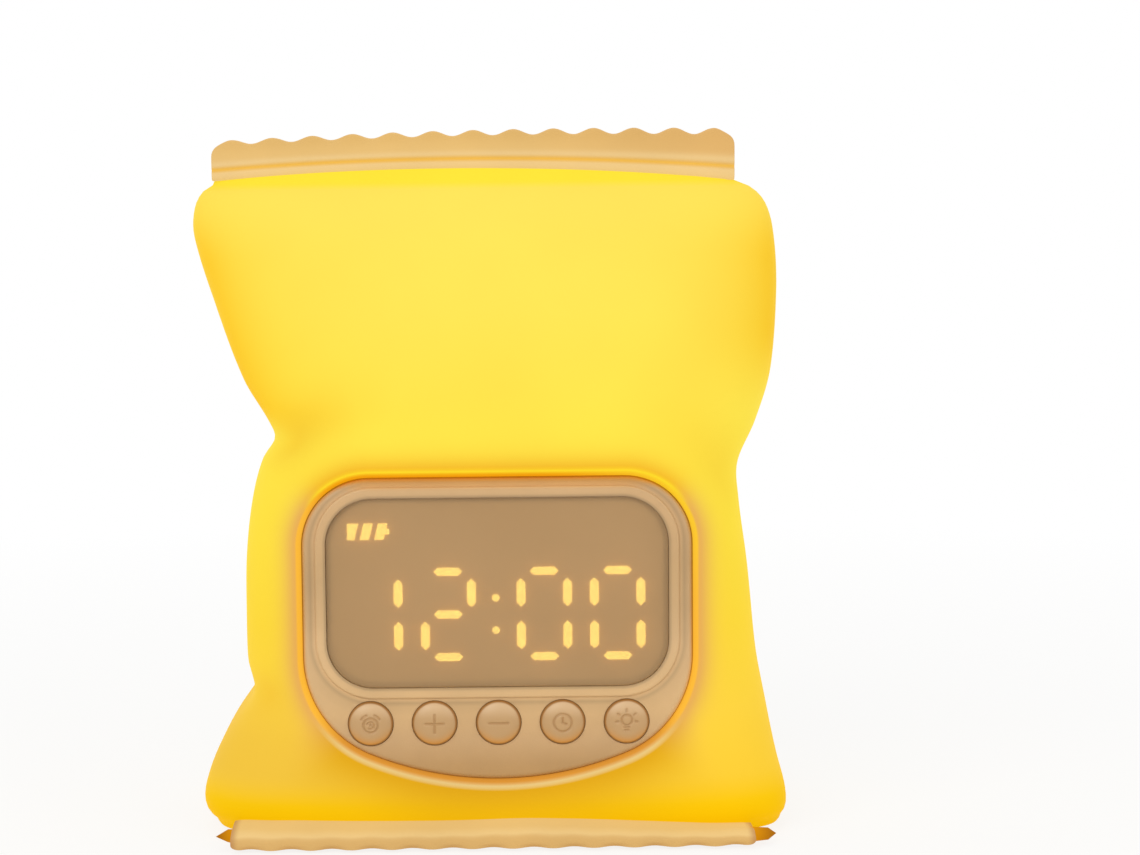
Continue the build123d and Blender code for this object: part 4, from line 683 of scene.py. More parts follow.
up = (z - (PANEL_TOP + PANEL_BOTTOM) / 2) / (PANEL_TOP - PANEL_BOTTOM) * 2
out = np.abs(x - PANEL_X) / PANEL_HALF
top_share = smooth_step(up - out, *TOP_SIDE)
bottom_share = smooth_step(-up - out, *BOTTOM_SIDE)
halo_reach = HALO_REACH + HALO_MORE_TOP * top_share + HALO_MORE_BOTTOM * bottom_share
outside = np.clip(gap - LIP_RADIUS / 2, 0.0, None)
halo = np.where(y < BAG_MIDDLE_Y, np.exp(-((outside / halo_reach) ** 1.5)), 0.0)
roll_right = ROLL_RIGHT_SHARE * smooth_step(x, *ROLL_RIGHT_ACROSS) * smooth_step(z, *ROLL_RIGHT_UP)
glow = paint(
    light_at(z),
    (EDGE_LIGHT, EDGE_SHARE * turned),
    (LOW_LEFT_LIGHT, LOW_LEFT_SHARE * low_left),
    (CREASE_SHADE, CREASE_SHARE * np.clip(sink, 0.0, 3.0)),
    (paint(tone(HALO_SIDE), (HALO_TOP, top_share), (HALO_BOTTOM, bottom_share)), halo),
    (paint(tone(ROLL_SIDE), (ROLL_TOP, top_share), (ROLL_BOTTOM, bottom_share), (ROLL_RIGHT, roll_right)),
     smooth_step(rim, *ROLL_START)),
    (CREST_TOP_HIGHLIGHT, top_share * bell(rim - CREST_TOP_AT, CREST_TOP_WIDTH) * (rim > 0)),
    (CREST_BOTTOM_HIGHLIGHT, bottom_share * bell(rim - CREST_BOTTOM_AT, CREST_BOTTOM_WIDTH) * (rim > 0)),
)
print("light from", np.round(glow.min(0), 2), "to", np.round(glow.max(0), 2))

# %% [markdown]
# ## Finish: translucent silicone
#
# Platinum-cured silicone with a little yellow pigment is soft, matt and milky. It was cast in a blasted
# mould, which gives it a fine even tooth and no sharp highlight, so its roughness is high and its coat is
# left out. Light from the lamp inside leaves it as a soft even glow. Following the path of every ray
# through the wall would be slow and noisy, so the glow is given as light that the surface sends out, and
# its colour goes from cream through yellow to orange as the light weakens.

# %% Silicone material
MOULD_TOOTH_MM = 0.9       # the real tooth is about 0.1 mm, drawn coarser so that it shows
TOOTH_HEIGHT_MM = 0.2


def lit_silicone(name, rough, specular, light, pigment, patch_mm, bump, opaque):
    """Silicone that gives off the colour of each point, a little mottled, over a pigment of that colour.

    In an opaque one the pigment is mottled as well.
    """
    material, tree, shader = start_material(name, Roughness=rough, IOR=1.41, Specular_IOR_Level=specular,
                                            Emission_Strength=light)
    place = add_node(tree, "ShaderNodeTexCoord").outputs["Object"]
    colour = add_node(tree, "ShaderNodeAttribute", {"attribute_name": "glow"}).outputs["Color"]
    patchy = add_node(tree, "ShaderNodeTexNoise", Vector=place, Scale=1 / (patch_mm * MM), Detail=2.0)
    uneven = add_node(tree, "ShaderNodeMapRange", Value=patchy, From_Min=0.3, From_Max=0.7, To_Min=0.97,
                      To_Max=1.03)
    mottled = add_node(tree, "ShaderNodeVectorMath", {"operation": "SCALE"}, _0=colour, Scale=uneven)
    body = add_node(tree, "ShaderNodeVectorMath", {"operation": "SCALE"}, _0=mottled if opaque else colour,
                    Scale=pigment)
    tooth = add_node(tree, "ShaderNodeTexNoise", Vector=place, Scale=1 / (MOULD_TOOTH_MM * MM), Detail=3.0)
    relief = add_node(tree, "ShaderNodeBump", Strength=bump, Distance=TOOTH_HEIGHT_MM * MM, Height=tooth)
    feed(shader, Base_Color=body, Emission_Color=mottled, Normal=relief)
    return material


silicone = lit_silicone("silicone_cast_satin", rough=0.62, specular=0.04, light=0.73, pigment=0.28,
                        patch_mm=38.0, bump=0.08, opaque=False)
print(silicone.name)

# %% Silicone skin piece
bag_skin = make_piece("silicone_bag_skin", points, faces.tolist(), silicone, glow)
wall_share = np.ones(len(points))
wall_share[: len(HEM_ROWS) * COLUMNS] = np.repeat(HEM_WALL_SHARE, COLUMNS)
wall_group = bag_skin.vertex_groups.new(name="wall_share")
for share in np.unique(wall_share):
    wall_group.add(np.flatnonzero(wall_share == share).tolist(), float(share), "REPLACE")
wall = bag_skin.modifiers.new("wall", "SOLIDIFY")
wall.vertex_group, wall.thickness, wall.offset = "wall_share", BAG_WALL * MM, -1.0
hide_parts("silicone_bag")
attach(bag_skin, "root")

# %% [markdown]
# ## Crimped strips
#
# The strip along the top is a moulded band that looks like the crimped seam of a bread bag: its upper
# edge is scalloped, its corners are soft and a groove runs along it. The one at the foot is the same
# band, laid over. Both are tubes with a rounded box for a section. The scallops lift only the upper part
# of the section, so the groove below them stays even.

# %% Strip surfaces
STRIP_LEFT, STRIP_RIGHT = -64.19, 57.38
STRIP_TOP_MIDDLE, STRIP_TOP_RISE, STRIP_TOP_LEAN = 160.0, 1.1, 0.8
STRIP_HALF_THICKNESS = 3.2
SCALLOPS = 13
SCALLOP_DEPTH, SCALLOP_LEAN = 0.64, 0.1
SCALLOP_FROM = 0.45                 # the share of the height above which they lift the strip
GROOVE_SHARE, GROOVE_DEPTH, GROOVE_WIDTH = 0.29, 0.6, 0.5
CORNER_START, CORNER_DROP = 0.925, 3.4
END_SHARPNESS, SECTION_SQUARE = 60.0, 6.0
STRIP_COLUMNS, STRIP_AROUND, SECTION_POINTS = 440, 96, 4000
STRIP_CROWDING = 1.25
# the strip's own cream, then the painted light of its ridge, band and groove and the painted shade of its
# crest and right end
STRIP_CREAM, STRIP_RIDGE_LIGHT, STRIP_BAND_LIGHT = "#E2BA74", "#EBC888", "#E9C88C"
STRIP_GROOVE_LIGHT, STRIP_CREST_SHADE, STRIP_RIGHT_SHADE = "#EDB848", "#DCB26A", "#D8A864"
BAND_AT, BAND_WIDTH = 0.42, 0.1     # shares of the height


def strip_section(power, wide, high):
    """Evenly spaced points round a rounded box |out|^p + |up|^p = 1, as shares of its half sizes."""
    around = np.linspace(0, 2 * math.pi, SECTION_POINTS, endpoint=False)
    line = np.stack([np.cos(around), np.sin(around)], -1)
    line = np.sign(line) * np.abs(line) ** (2 / power)
    return (resample(line * (wide, high), STRIP_AROUND) / (wide, high)).T


def corner_share(s, start):
    """How far a place is into the rounded corner at its end of a strip, from 0 to 1."""
    return np.clip((np.abs(s) - start) / (1 - start), 0.0, 1.0)


# s goes from -1 to 1 along a strip, and its columns crowd at the ends, where the strip rounds off.
run = np.linspace(-1, 1, STRIP_COLUMNS)
run = np.sign(run) * (1 - (1 - np.abs(run)) ** STRIP_CROWDING)
s = np.repeat(run[:, None], STRIP_AROUND, axis=1)
taper = (1 - np.abs(s) ** END_SHARPNESS) ** (1 / END_SHARPNESS)
wave = np.cos(2 * math.pi * SCALLOPS * (s + 1) / 2)
half_height = (STRIP_TOP_MIDDLE - STRIP_LOW_MIDDLE) / 2
out_share, up_share = strip_section(SECTION_SQUARE, STRIP_HALF_THICKNESS, half_height)
corner = corner_share(s, CORNER_START)
low_edge = strip_low_edge(s)
plain_height = STRIP_TOP_MIDDLE - STRIP_TOP_RISE * s**2 + STRIP_TOP_LEAN * s - low_edge
scallop = -(SCALLOP_DEPTH + SCALLOP_LEAN * s) * wave * (1 - corner) + SCALLOP_DEPTH * corner
scallop -= CORNER_DROP * (1 - np.sqrt(1 - corner**2))
level = 0.5 + 0.5 * up_share * taper
up_from_low = plain_height * level + scallop * smooth_step(level, SCALLOP_FROM, 1.0)
groove = bell(up_from_low - GROOVE_SHARE * plain_height, GROOVE_WIDTH)
thick = (STRIP_HALF_THICKNESS - GROOVE_DEPTH * groove) * out_share * taper
middle_x, half_length = (STRIP_LEFT + STRIP_RIGHT) / 2, (STRIP_RIGHT - STRIP_LEFT) / 2
strip = np.stack([middle_x + half_length * s, BAG_MIDDLE_Y + thick, low_edge + up_from_low], axis=-1)
level_share = up_from_low / plain_height
# painted light and shade: the ridge below the groove, a band above it and the groove carry painted light of
# the bag, and the crest and right end are painted darker as shade
strip_tone_and_light = paint(
    tone(STRIP_CREAM),
    (STRIP_CREST_SHADE, smooth_step(level_share, 0.6, 1.0)),
    (STRIP_RIGHT_SHADE, 0.7 * smooth_step(s, 0.0, 1.2)),
    (STRIP_BAND_LIGHT, 0.8 * bell(level_share - BAND_AT, BAND_WIDTH)),
    (STRIP_RIDGE_LIGHT, 1 - smooth_step(level_share, 0.2, 0.3)),
    (STRIP_GROOVE_LIGHT, groove),
)
print("top strip", np.round(strip.min((0, 1)), 1), np.round(strip.max((0, 1)), 1))

# %% [markdown]
# ## Finish: moulded strip
#
# The strips are the same silicone family but opaque, pigmented cream and moulded with a matt face. The
# whole strip gives off its colour as a painted glow, which carries its painted light and shade: a little of
# the bag's light creeps up into the lower edge and gathers in the groove.

# %% Strip material
strip_glow_finish = lit_silicone("silicone_opaque_cream_glowing", rough=0.58, specular=0.3, light=0.68, pigment=0.34,
                            patch_mm=22.0, bump=0.12, opaque=True)
print(strip_glow_finish.name)

# %% Top strip piece
strip_faces = tube_faces(STRIP_COLUMNS, STRIP_AROUND)
top_band = make_piece("top_crimp_band", strip, strip_faces, strip_glow_finish, strip_tone_and_light)
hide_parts("top_crimp_strip")
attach(top_band, "root")

# %% [markdown]
# The strip at the foot is fuller, and its scallops are pressed into the lower half of its face only.
# Its lower corners are rounded much more than its upper ones.

# %% Bottom strip
FOOT_ORIGIN = (PANEL_X - 1.5, -32.0, 4.4)
FOOT_SLOPE = math.radians(13.0)
FOOT_WIDTH, FOOT_LENGTH, FOOT_THICKNESS, FOOT_SQUARE = 117.2, 10.6, 4.0, 3.4
FOOT_REAR, FOOT_REAR_CURVE = -0.4, 2.8          # its rear follows the rounded corners of the bag
FOOT_REAR_DROP, FOOT_REAR_SAG = 1.2, 1.3        # and sinks there, more so at the right one
FOOT_ENDS, FOOT_RIGHT = (0.7, 1.0), (0.3, 1.0)  # where both ends and the right one begin, as places s
FOOT_WAVE, FOOT_SCALLOP_DEPTH = 0.25, 0.45
FOOT_ARCH_DOWN, FOOT_ARCH_OUT = (-0.1, 0.5), (0.3, 0.9)     # the low front part that the scallops press in
FOOT_CORNER_START, FOOT_CORNER_DROP = 0.955, 2.0
# its top swells by the middle and sinks towards the right end
FOOT_CREST, FOOT_CREST_AT, FOOT_CREST_WIDTH = 0.5, 0.12, 0.2
FOOT_DIP, FOOT_DIP_FROM = 0.8, (0.3, 0.85)
# the top's own tone, then a painted highlight on the bend and painted shade on the face, arches, underside
# and ends
FOOT_TOP, FOOT_BEND_HIGHLIGHT, FOOT_FACE_SHADE = "#E6C07A", "#F0CE8E", "#DAB06C"
FOOT_ARCH_SHADE, FOOT_UNDER_SHADE, FOOT_END_SHADE = "#C08C46", "#A87838", "#B88450"

along_share, over_share = strip_section(FOOT_SQUARE, FOOT_LENGTH / 2, FOOT_THICKNESS / 2)
along_slope, over_slope = along_share * taper, over_share * taper
near_ends = smooth_step(np.abs(s), *FOOT_ENDS)
front = FOOT_LENGTH - FOOT_WAVE + FOOT_WAVE * wave
rear = FOOT_REAR - FOOT_REAR_CURVE * near_ends
arch = smooth_step(-over_slope, *FOOT_ARCH_DOWN) * smooth_step(along_slope, *FOOT_ARCH_OUT)
arch *= 0.5 - 0.5 * wave
reach = (front + rear) / 2 + (front - rear) / 2 * along_slope - FOOT_SCALLOP_DEPTH * arch
round_off = FOOT_CORNER_DROP * (1 - np.sqrt(1 - corner_share(s, FOOT_CORNER_START) ** 2))
swell = FOOT_CREST * bell(s - FOOT_CREST_AT, FOOT_CREST_WIDTH) - FOOT_DIP * smooth_step(s, *FOOT_DIP_FROM)
sunk = FOOT_REAR_DROP * near_ends + FOOT_REAR_SAG * smooth_step(s, *FOOT_RIGHT)
rise = FOOT_THICKNESS / 2 * over_slope + round_off * (0.3 - 0.5 * over_slope)
rise += smooth_step(over_slope, -0.2, 1.0) * swell - smooth_step(-along_slope, -0.6, 1.0) * sunk
foot = np.stack([
    FOOT_ORIGIN[0] + FOOT_WIDTH / 2 * s,
    FOOT_ORIGIN[1] - reach * math.cos(FOOT_SLOPE) - rise * math.sin(FOOT_SLOPE),
    FOOT_ORIGIN[2] - reach * math.sin(FOOT_SLOPE) + rise * math.cos(FOOT_SLOPE),
], axis=-1)
faced = smooth_step(along_slope, 0.78, 0.98)
# painted light and shade: a highlight on the bend, and the front face, the pressed arches, the underside and
# the ends painted darker as shade
foot_tone_and_light = paint(
    tone(FOOT_TOP),
    (FOOT_BEND_HIGHLIGHT, 0.5 * smooth_step(along_slope, 0.2, 0.8)),
    (FOOT_FACE_SHADE, faced),
    (FOOT_ARCH_SHADE, 0.6 * faced * arch),
    (FOOT_UNDER_SHADE, smooth_step(-over_slope, 0.55, 1.0)),
    (FOOT_END_SHADE, 0.8 * smooth_step(np.abs(s), 0.965, 1.0)),
)
bottom_band = make_piece("bottom_crimp_band", foot, strip_faces, strip_glow_finish, foot_tone_and_light)
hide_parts("bottom_crimp_strip")
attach(bottom_band, "root")
print("bottom strip", np.round(foot.min((0, 1)), 2), np.round(foot.max((0, 1)), 2))

# %% [markdown]
# ## Ears of the bag
#
# Past each end of the foot strip the flattened seam of the bag ends in a small tip like an arrowhead.
# Each is a row of flat rings that narrow slowly at first and then quickly to a point.

# %% Ear pieces
EAR_START, EAR_Y = -1.0, -4.0
EAR_RINGS, EAR_AROUND = 21, 28
EAR_FLATNESS = 1.2          # how long a ring is from front to rear for its height
EAR_REACH = {-1: 3.7, 1: 5.0}
# share of the way to the tip, half height there and height above the table, at the left (-1) and right (1)
EAR_SHAPE = {-1: ((0.0, 1.6, 2.9), (0.42, 1.45, 3.1), (1.0, 0.03, 2.9)),
             1: ((0.0, 1.7, 2.2), (0.7, 1.35, 2.3), (1.0, 0.03, 2.4))}
EAR_ROOT_LIGHT, EAR_TIP_LIGHT = "#E89A08", "#B06E10"

ear_t, ear_u = np.meshgrid(np.linspace(0, 1, EAR_RINGS), 2 * math.pi * np.arange(EAR_AROUND) / EAR_AROUND,
                           indexing="ij")


def ear_points(side):
    """Rings of an ear: half height and height go straight between the rows of EAR_SHAPE."""
    share, half, height = np.array(EAR_SHAPE[side]).T
    half, height = np.interp(ear_t, share, half), np.interp(ear_t, share, height)
    return np.stack([
        FOOT_ORIGIN[0] + side * (FOOT_WIDTH / 2 + EAR_START + (EAR_REACH[side] - EAR_START) * ear_t),
        FOOT_ORIGIN[1] + EAR_Y + EAR_FLATNESS * half * np.cos(ear_u),
        height + half * np.sin(ear_u),
    ], axis=-1)


ear_tone = paint(tone(EAR_ROOT_LIGHT), (EAR_TIP_LIGHT, 1.2 * ear_t))
for name, side in (("left_bag_ear", -1), ("right_bag_ear", 1)):
    ear_faces = tube_faces(EAR_RINGS, EAR_AROUND, turned=side < 0)
    ear = make_piece(name, ear_points(side), ear_faces, silicone, ear_tone)
    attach(ear, "root")

# %% [markdown]
# ## Finishes of the hard pieces
#
# Apart from the key caps, every hard piece keeps its CAD shape. One recipe covers their finishes, because
# they differ in numbers and not in kind: a colour that varies a little from place to place, a roughness
# that varies with the grain, and a grain whose size is given in millimetres. The real grain of a moulding
# or a plated sheet is mostly under 0.1 mm, so it is drawn a few times coarser here, so that it shows.

# %% Recipe for a moulded, cast or rolled surface


def fine_finish(name, colour, tint, grain_mm, bump, rough, patch_mm=14.0, metal=0.0, ior=1.5,
                stretch=(1, 1, 1)):
    """Colour mixed from two hex values by a patchy noise, roughness between two values, grain as a bump."""
    material, tree, shader = start_material(name, Metallic=metal, IOR=ior)
    place = add_node(tree, "ShaderNodeTexCoord").outputs["Object"]
    stretched = add_node(tree, "ShaderNodeMapping", Vector=place, Scale=stretch)
    patchy = add_node(tree, "ShaderNodeTexNoise", Vector=place, Scale=1 / (patch_mm * MM), Detail=3.0)
    mixed = add_node(tree, "ShaderNodeValToRGB", stops=((0.3, linear(colour)), (0.7, linear(tint))),
                     Fac=patchy)
    grain = add_node(tree, "ShaderNodeTexNoise", Vector=stretched, Scale=1 / (grain_mm * MM), Detail=2.0,
                     Roughness=0.6)
    uneven = add_node(tree, "ShaderNodeMapRange", Value=grain, From_Min=0.25, From_Max=0.75, To_Min=rough[0],
                      To_Max=rough[1])
    relief = add_node(tree, "ShaderNodeBump", Strength=bump, Distance=grain_mm * MM * 0.3, Height=grain)
    feed(shader, Base_Color=mixed, Roughness=uneven, Normal=relief)
    return material


def dress(material, *names):
    """Give CAD nodes a material in every slot they have."""
    for name in names:
        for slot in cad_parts[name].material_slots:
            slot.material = material
    print(material.name, "on", len(names), "nodes")


KEYS = ("alarm", "plus", "minus", "clock", "light")

# %% [markdown]
# The bezel is ABS, moulded in a spark-eroded tool that leaves a fine satin grain. It is tan cream. A soft
# bead frames the window, and the channels on both sides of the bead are painted darker as shade. The bead
# follows the window, so one distance gives its place: the length of max(|p - centre| - (half size - radius),
# 0) is the radius on the window's edge and grows outwards.

# %% Clock face
WINDOW_HALF, WINDOW_RADIUS, WINDOW_Z = (38.25, 21.4), 10.5, 57.6
# millimetres outside the window's edge and how much of the tone is left there
BEAD_SHADE = ((-1.0, 0.62), (0.15, 0.66), (0.7, 0.96), (1.3, 1.0), (2.7, 0.98), (3.4, 0.74), (4.3, 0.9),
              (6.5, 0.97))
# height above the table and the tone of the face there, painted lighter and darker as light and shade,
# darkest at its lower edge, with a painted glow of the bag's light at its upper edge
FACE_TONES_AND_SHADE = ((15.0, "#BC945E"), (19.0, "#C09A68"), (24.0, "#CEAA7C"), (30.0, "#DAB684"), (46.0, "#DAB88A"),
              (54.0, "#D0AE80"), (64.0, "#C8A678"), (74.0, "#D0AC7E"), (80.5, "#D2AE80"), (82.6, "#DEA252"))

bezel_abs = fine_finish("abs_spark_grained_tan", "#F5F5F5", "#FFFFFF", 0.45, 0.25, (0.42, 0.56))
tree = bezel_abs.node_tree
shader = next(node for node in tree.nodes if node.type == "BSDF_PRINCIPLED")
mottle = shader.inputs["Base Color"].links[0].from_socket


def colours_by_length(value, rows, start):
    """Ramp over a length in metres, from rows of (millimetres from the start, colour)."""
    first, last = rows[0][0], rows[-1][0]
    share = add_node(tree, "ShaderNodeMapRange", Value=value, From_Min=(start + first) * MM,
                     From_Max=(start + last) * MM)
    stops = tuple(((at - first) / (last - first), colour) for at, colour in rows)
    return add_node(tree, "ShaderNodeValToRGB", stops=stops, Fac=share)


place = add_node(tree, "ShaderNodeTexCoord").outputs["Object"]
height = add_node(tree, "ShaderNodeSeparateXYZ", Vector=place).outputs["Z"]
centre = (PANEL_X * MM, 0.0, WINDOW_Z * MM)
core = ((WINDOW_HALF[0] - WINDOW_RADIUS) * MM, 1.0, (WINDOW_HALF[1] - WINDOW_RADIUS) * MM)
zero = (0.0, 0.0, 0.0)
off_core = place
for operation, other in (("SUBTRACT", centre), ("ABSOLUTE", zero), ("SUBTRACT", core), ("MAXIMUM", zero)):
    off_core = add_node(tree, "ShaderNodeVectorMath", {"operation": operation}, _0=off_core, _1=other)
reach_out = add_node(tree, "ShaderNodeVectorMath", {"operation": "LENGTH"}, _0=off_core).outputs["Value"]
face_tone_and_shade = colours_by_length(height, [(at, linear(code)) for at, code in FACE_TONES_AND_SHADE], 0.0)
bead_greys = [(at, (left, left, left, 1.0)) for at, left in BEAD_SHADE]
shade = colours_by_length(reach_out, bead_greys, WINDOW_RADIUS)
shaded = mottle
for layer in (face_tone_and_shade, shade):
    shaded = add_node(tree, "ShaderNodeVectorMath", {"operation": "MULTIPLY"}, _0=shaded, _1=layer)
feed(shader, Base_Color=shaded)
dress(bezel_abs, "clock_bezel")

# %% [markdown]
# ## Key caps
#
# Each key is a pillow-shaped cap with a shallow icon pressed into it, a flange that keeps it behind its
# hole and a short stem that meets the switch. The cap is turned from one profile, in rings about its
# axis. An icon is a field of distances to its strokes, and the face sinks by a bell curve of them, so
# each stroke has the soft flanks of a moulded mark.

# %% Shape of a key cap
KEY_PITCH, KEY_HEIGHT, KEY_RADIUS = 14.33, 28.2, 5.06
KEY_TIP, KEY_FOOT = -37.1, -35.2
FLANGE_RADIUS, FLANGE_FRONT, FLANGE_REAR, STEM_RADIUS = 5.45, -32.7, -31.4, 1.6
AXIS_RADIUS = 0.02                  # of the tiny caps on the axis
FACE_POWER = 2.6                    # how flat the face stays before it turns down at its rim
CAP_RINGS, CAP_AROUND, CAP_CROWDING = 88, 144, 0.8
STROKE_DEPTH, STROKE_HALF_WIDTH = 0.3, 0.27
BULB_HEIGHT, RAY_START, RAY_END = 0.5, 2.0, 2.4
ray_angle = np.radians((-10, 35, 90, 145, 190))
rays = np.stack([RAY_START * np.cos(ray_angle), BULB_HEIGHT + RAY_START * np.sin(ray_angle),
                 RAY_END * np.cos(ray_angle), BULB_HEIGHT + RAY_END * np.sin(ray_angle)], axis=-1)
# Lines of the icons in millimetres from the middle of the cap. First rings and arcs: height of the centre,
# radius, start and end in degrees. Then straight strokes: start across and up, end across and up.
ICONS = {
    # clock ring with its hands, and a bell arc over each shoulder
    "alarm": ([(-0.2, 1.6, -180, 180), (-0.2, 0.75, -120, 150), (-0.2, 2.45, 35, 68), (-0.2, 2.45, 112, 145)],
              [(0.0, -0.2, 0.1, 0.5)]),
    "plus": ([], [(-2.0, 0.0, 2.0, 0.0), (0.0, -2.0, 0.0, 2.0)]),
    "minus": ([], [(-2.1, 0.0, 2.1, 0.0)]),
    # ring round two hands
    "clock": ([(0.0, 2.0, -180, 180)], [(0.0, 0.0, 0.0, 1.1), (0.0, 0.0, 0.8, -0.3)]),
    # lamp bulb over its foot, with short rays
    "light": ([(BULB_HEIGHT, 1.15, -180, 180)],
              [(-0.5, -1.1, 0.5, -1.1), (-0.35, -1.75, 0.35, -1.75), *rays]),
}


def arc_distance(u, v, radius, start, end):
    """Distance to the part of a circle line between two angles in degrees, with round ends."""
    middle, half = math.radians((start + end) / 2), math.radians((end - start) / 2)
    turn = np.arctan2(v, u) - middle
    turn = np.clip((turn + math.pi) % (2 * math.pi) - math.pi, -half, half) + middle
    return np.hypot(u - radius * np.cos(turn), v - radius * np.sin(turn))


def icon_distance(key, u, v):
    """Distance from places on a cap to the nearest line of its icon."""
    arcs, strokes = ICONS[key]
    return np.minimum.reduce([arc_distance(u, v - up, *arc) for up, *arc in arcs]
                             + [run_distance(u, v, line[:2], line[2:])[1] for line in strokes])


# The rings of a cap: its face, both edges of the flange, and the stem down to the switch.
face_share = np.linspace(0.0, 1.0, CAP_RINGS) ** CAP_CROWDING
rear_radius = (KEY_RADIUS, FLANGE_RADIUS, FLANGE_RADIUS, STEM_RADIUS, STEM_RADIUS, AXIS_RADIUS)
ring_radius = np.concatenate([np.maximum(face_share * KEY_RADIUS, AXIS_RADIUS), rear_radius])
cap_r, cap_turn = np.meshgrid(ring_radius, 2 * math.pi * np.arange(CAP_AROUND) / CAP_AROUND, indexing="ij")
cap_u, cap_v = cap_r * np.cos(cap_turn), cap_r * np.sin(cap_turn)


def cap_points(key, column):
    """Rings of a cap: y = tip + rise (1 - (1 - r^2.6)^(1/2)) on its face, then straight runs to the stem."""
    stem_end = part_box(f"{key}_button")[1][1] / MM
    face_y = KEY_TIP + (KEY_FOOT - KEY_TIP) * (1 - np.sqrt(1 - face_share**FACE_POWER))
    rear_y = (FLANGE_FRONT, FLANGE_FRONT, FLANGE_REAR, FLANGE_REAR, stem_end, stem_end)
    y = np.repeat(np.concatenate([face_y, rear_y])[:, None], CAP_AROUND, axis=1)
    y[:CAP_RINGS] += STROKE_DEPTH * bell(icon_distance(key, cap_u, cap_v), STROKE_HALF_WIDTH)[:CAP_RINGS]
    return np.stack([PANEL_X + column * KEY_PITCH + cap_u, y, KEY_HEIGHT + cap_v], axis=-1)


print("keys", list(ICONS))

# %% [markdown]
# The keys are the same ABS as the face, moulded smoother. The bag's light comes up round the module and
# warms the lower side of each cap, painted into its colour. The upper side carries a painted highlight, and
# the rim and the strokes of the icon are painted darker as shade.

# %% Key caps
KEY_GRAIN_MM = 0.5          # the real grain is under 0.1 mm, drawn coarser so that it shows
# own tone, then a painted highlight on top, the bag's painted glow below, and painted shade on the rim and
# strokes
KEY_TONE, KEY_TOP_HIGHLIGHT, KEY_WARM, KEY_RIM_SHADE, KEY_STROKE_SHADE = "#C09C6E", "#D4B48C", "#D49848", "#A07038", "#A88050"

key_abs, tree, shader = start_material("abs_satin_tan_key")     # ABS keeps the usual IOR of 1.5
place = add_node(tree, "ShaderNodeTexCoord").outputs["Object"]
key_tone_and_light = add_node(tree, "ShaderNodeAttribute", {"attribute_name": "glow"}).outputs["Color"]
grain = add_node(tree, "ShaderNodeTexNoise", Vector=place, Scale=1 / (KEY_GRAIN_MM * MM), Detail=2.0)
satin = add_node(tree, "ShaderNodeMapRange", Value=grain, From_Min=0.25, From_Max=0.75, To_Min=0.34,
                 To_Max=0.46)
relief = add_node(tree, "ShaderNodeBump", Strength=0.1, Distance=0.3 * KEY_GRAIN_MM * MM, Height=grain)
feed(shader, Base_Color=key_tone_and_light, Roughness=satin, Normal=relief)

cap_faces = tube_faces(len(ring_radius), CAP_AROUND)
above, reach = cap_v / KEY_RADIUS, cap_r / KEY_RADIUS
for column, key in enumerate(KEYS, start=-2):
    # painted light and shade: a highlight on the upper side, the bag's glow on the lower side, and the
    # strokes and the rim darker as shade
    cap_tone_and_light = paint(
        tone(KEY_TONE),
        (KEY_TOP_HIGHLIGHT, smooth_step(above, 0.1, 0.9)),
        (KEY_WARM, smooth_step(-above, 0.0, 1.0) * smooth_step(reach, 0.5, 0.95)),
        (KEY_STROKE_SHADE, 0.5 * bell(icon_distance(key, cap_u, cap_v), STROKE_HALF_WIDTH)),
        (KEY_RIM_SHADE, smooth_step(reach, 0.88, 0.95)),
    )
    cap_piece = make_piece(f"{key}_key_cap", cap_points(key, column), cap_faces, key_abs, cap_tone_and_light)
    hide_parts(f"{key}_button")
    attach(cap_piece, f"{key}_key")

# %% [markdown]
# The window is tinted acrylic. Off, it looks like a sheet of tan glass; on, the segments shine through
# it. Part of the light passes straight through and the rest meets the tinted face, so the shader mixes a
# clear one with a glossy one.

# %% Window, segments and block
LENS_CLEAR_SHARE = 0.36             # share of the light that goes straight through the window
LENS_HAZE_MM, SEGMENT_MOTTLE_MM = 30.0, 1.2

acrylic, tree, shader = start_material("acrylic_tinted_tan", Roughness=0.28, IOR=1.49)
place = add_node(tree, "ShaderNodeTexCoord").outputs["Object"]
haze = add_node(tree, "ShaderNodeTexNoise", Vector=place, Scale=1 / (LENS_HAZE_MM * MM), Detail=2.0)
tint = add_node(tree, "ShaderNodeValToRGB", stops=((0.3, linear("#C4A274")), (0.7, linear("#C8A678"))),
                Fac=haze)
feed(shader, Base_Color=tint)
clear = add_node(tree, "ShaderNodeBsdfTransparent", Color=linear("#FFF4DC"))
through = add_node(tree, "ShaderNodeMixShader", _0=LENS_CLEAR_SHARE, _1=shader, _2=clear)
feed(next(node for node in tree.nodes if node.type == "OUTPUT_MATERIAL"), Surface=through)
dress(acrylic, "display_lens")

segment_glow, tree, shader = start_material("segment_lit_amber", Roughness=0.5, Emission_Strength=3.5)
place = add_node(tree, "ShaderNodeTexCoord").outputs["Object"]
mottle = add_node(tree, "ShaderNodeTexNoise", Vector=place, Scale=1 / (SEGMENT_MOTTLE_MM * MM), Detail=1.0)
amber = add_node(tree, "ShaderNodeValToRGB", stops=((0.3, linear("#FFF696")), (0.7, linear("#FFF99C"))),
                 Fac=mottle)
feed(shader, Base_Color=amber, Emission_Color=amber)
dress(segment_glow, "display_segments")
dress(fine_finish("polycarbonate_display_body", "#B08F66", "#B4936A", 0.6, 0.1, (0.5, 0.6)), "display_block")

# %% [markdown]
# Inside the bag sit the pieces that make it work: white nylon and ABS mouldings, a frosted diffuser,
# two circuit boards, a lithium cell, a small speaker, plated screws and insulated leads. They are out of
# sight from the front, but each has the finish of its own material.

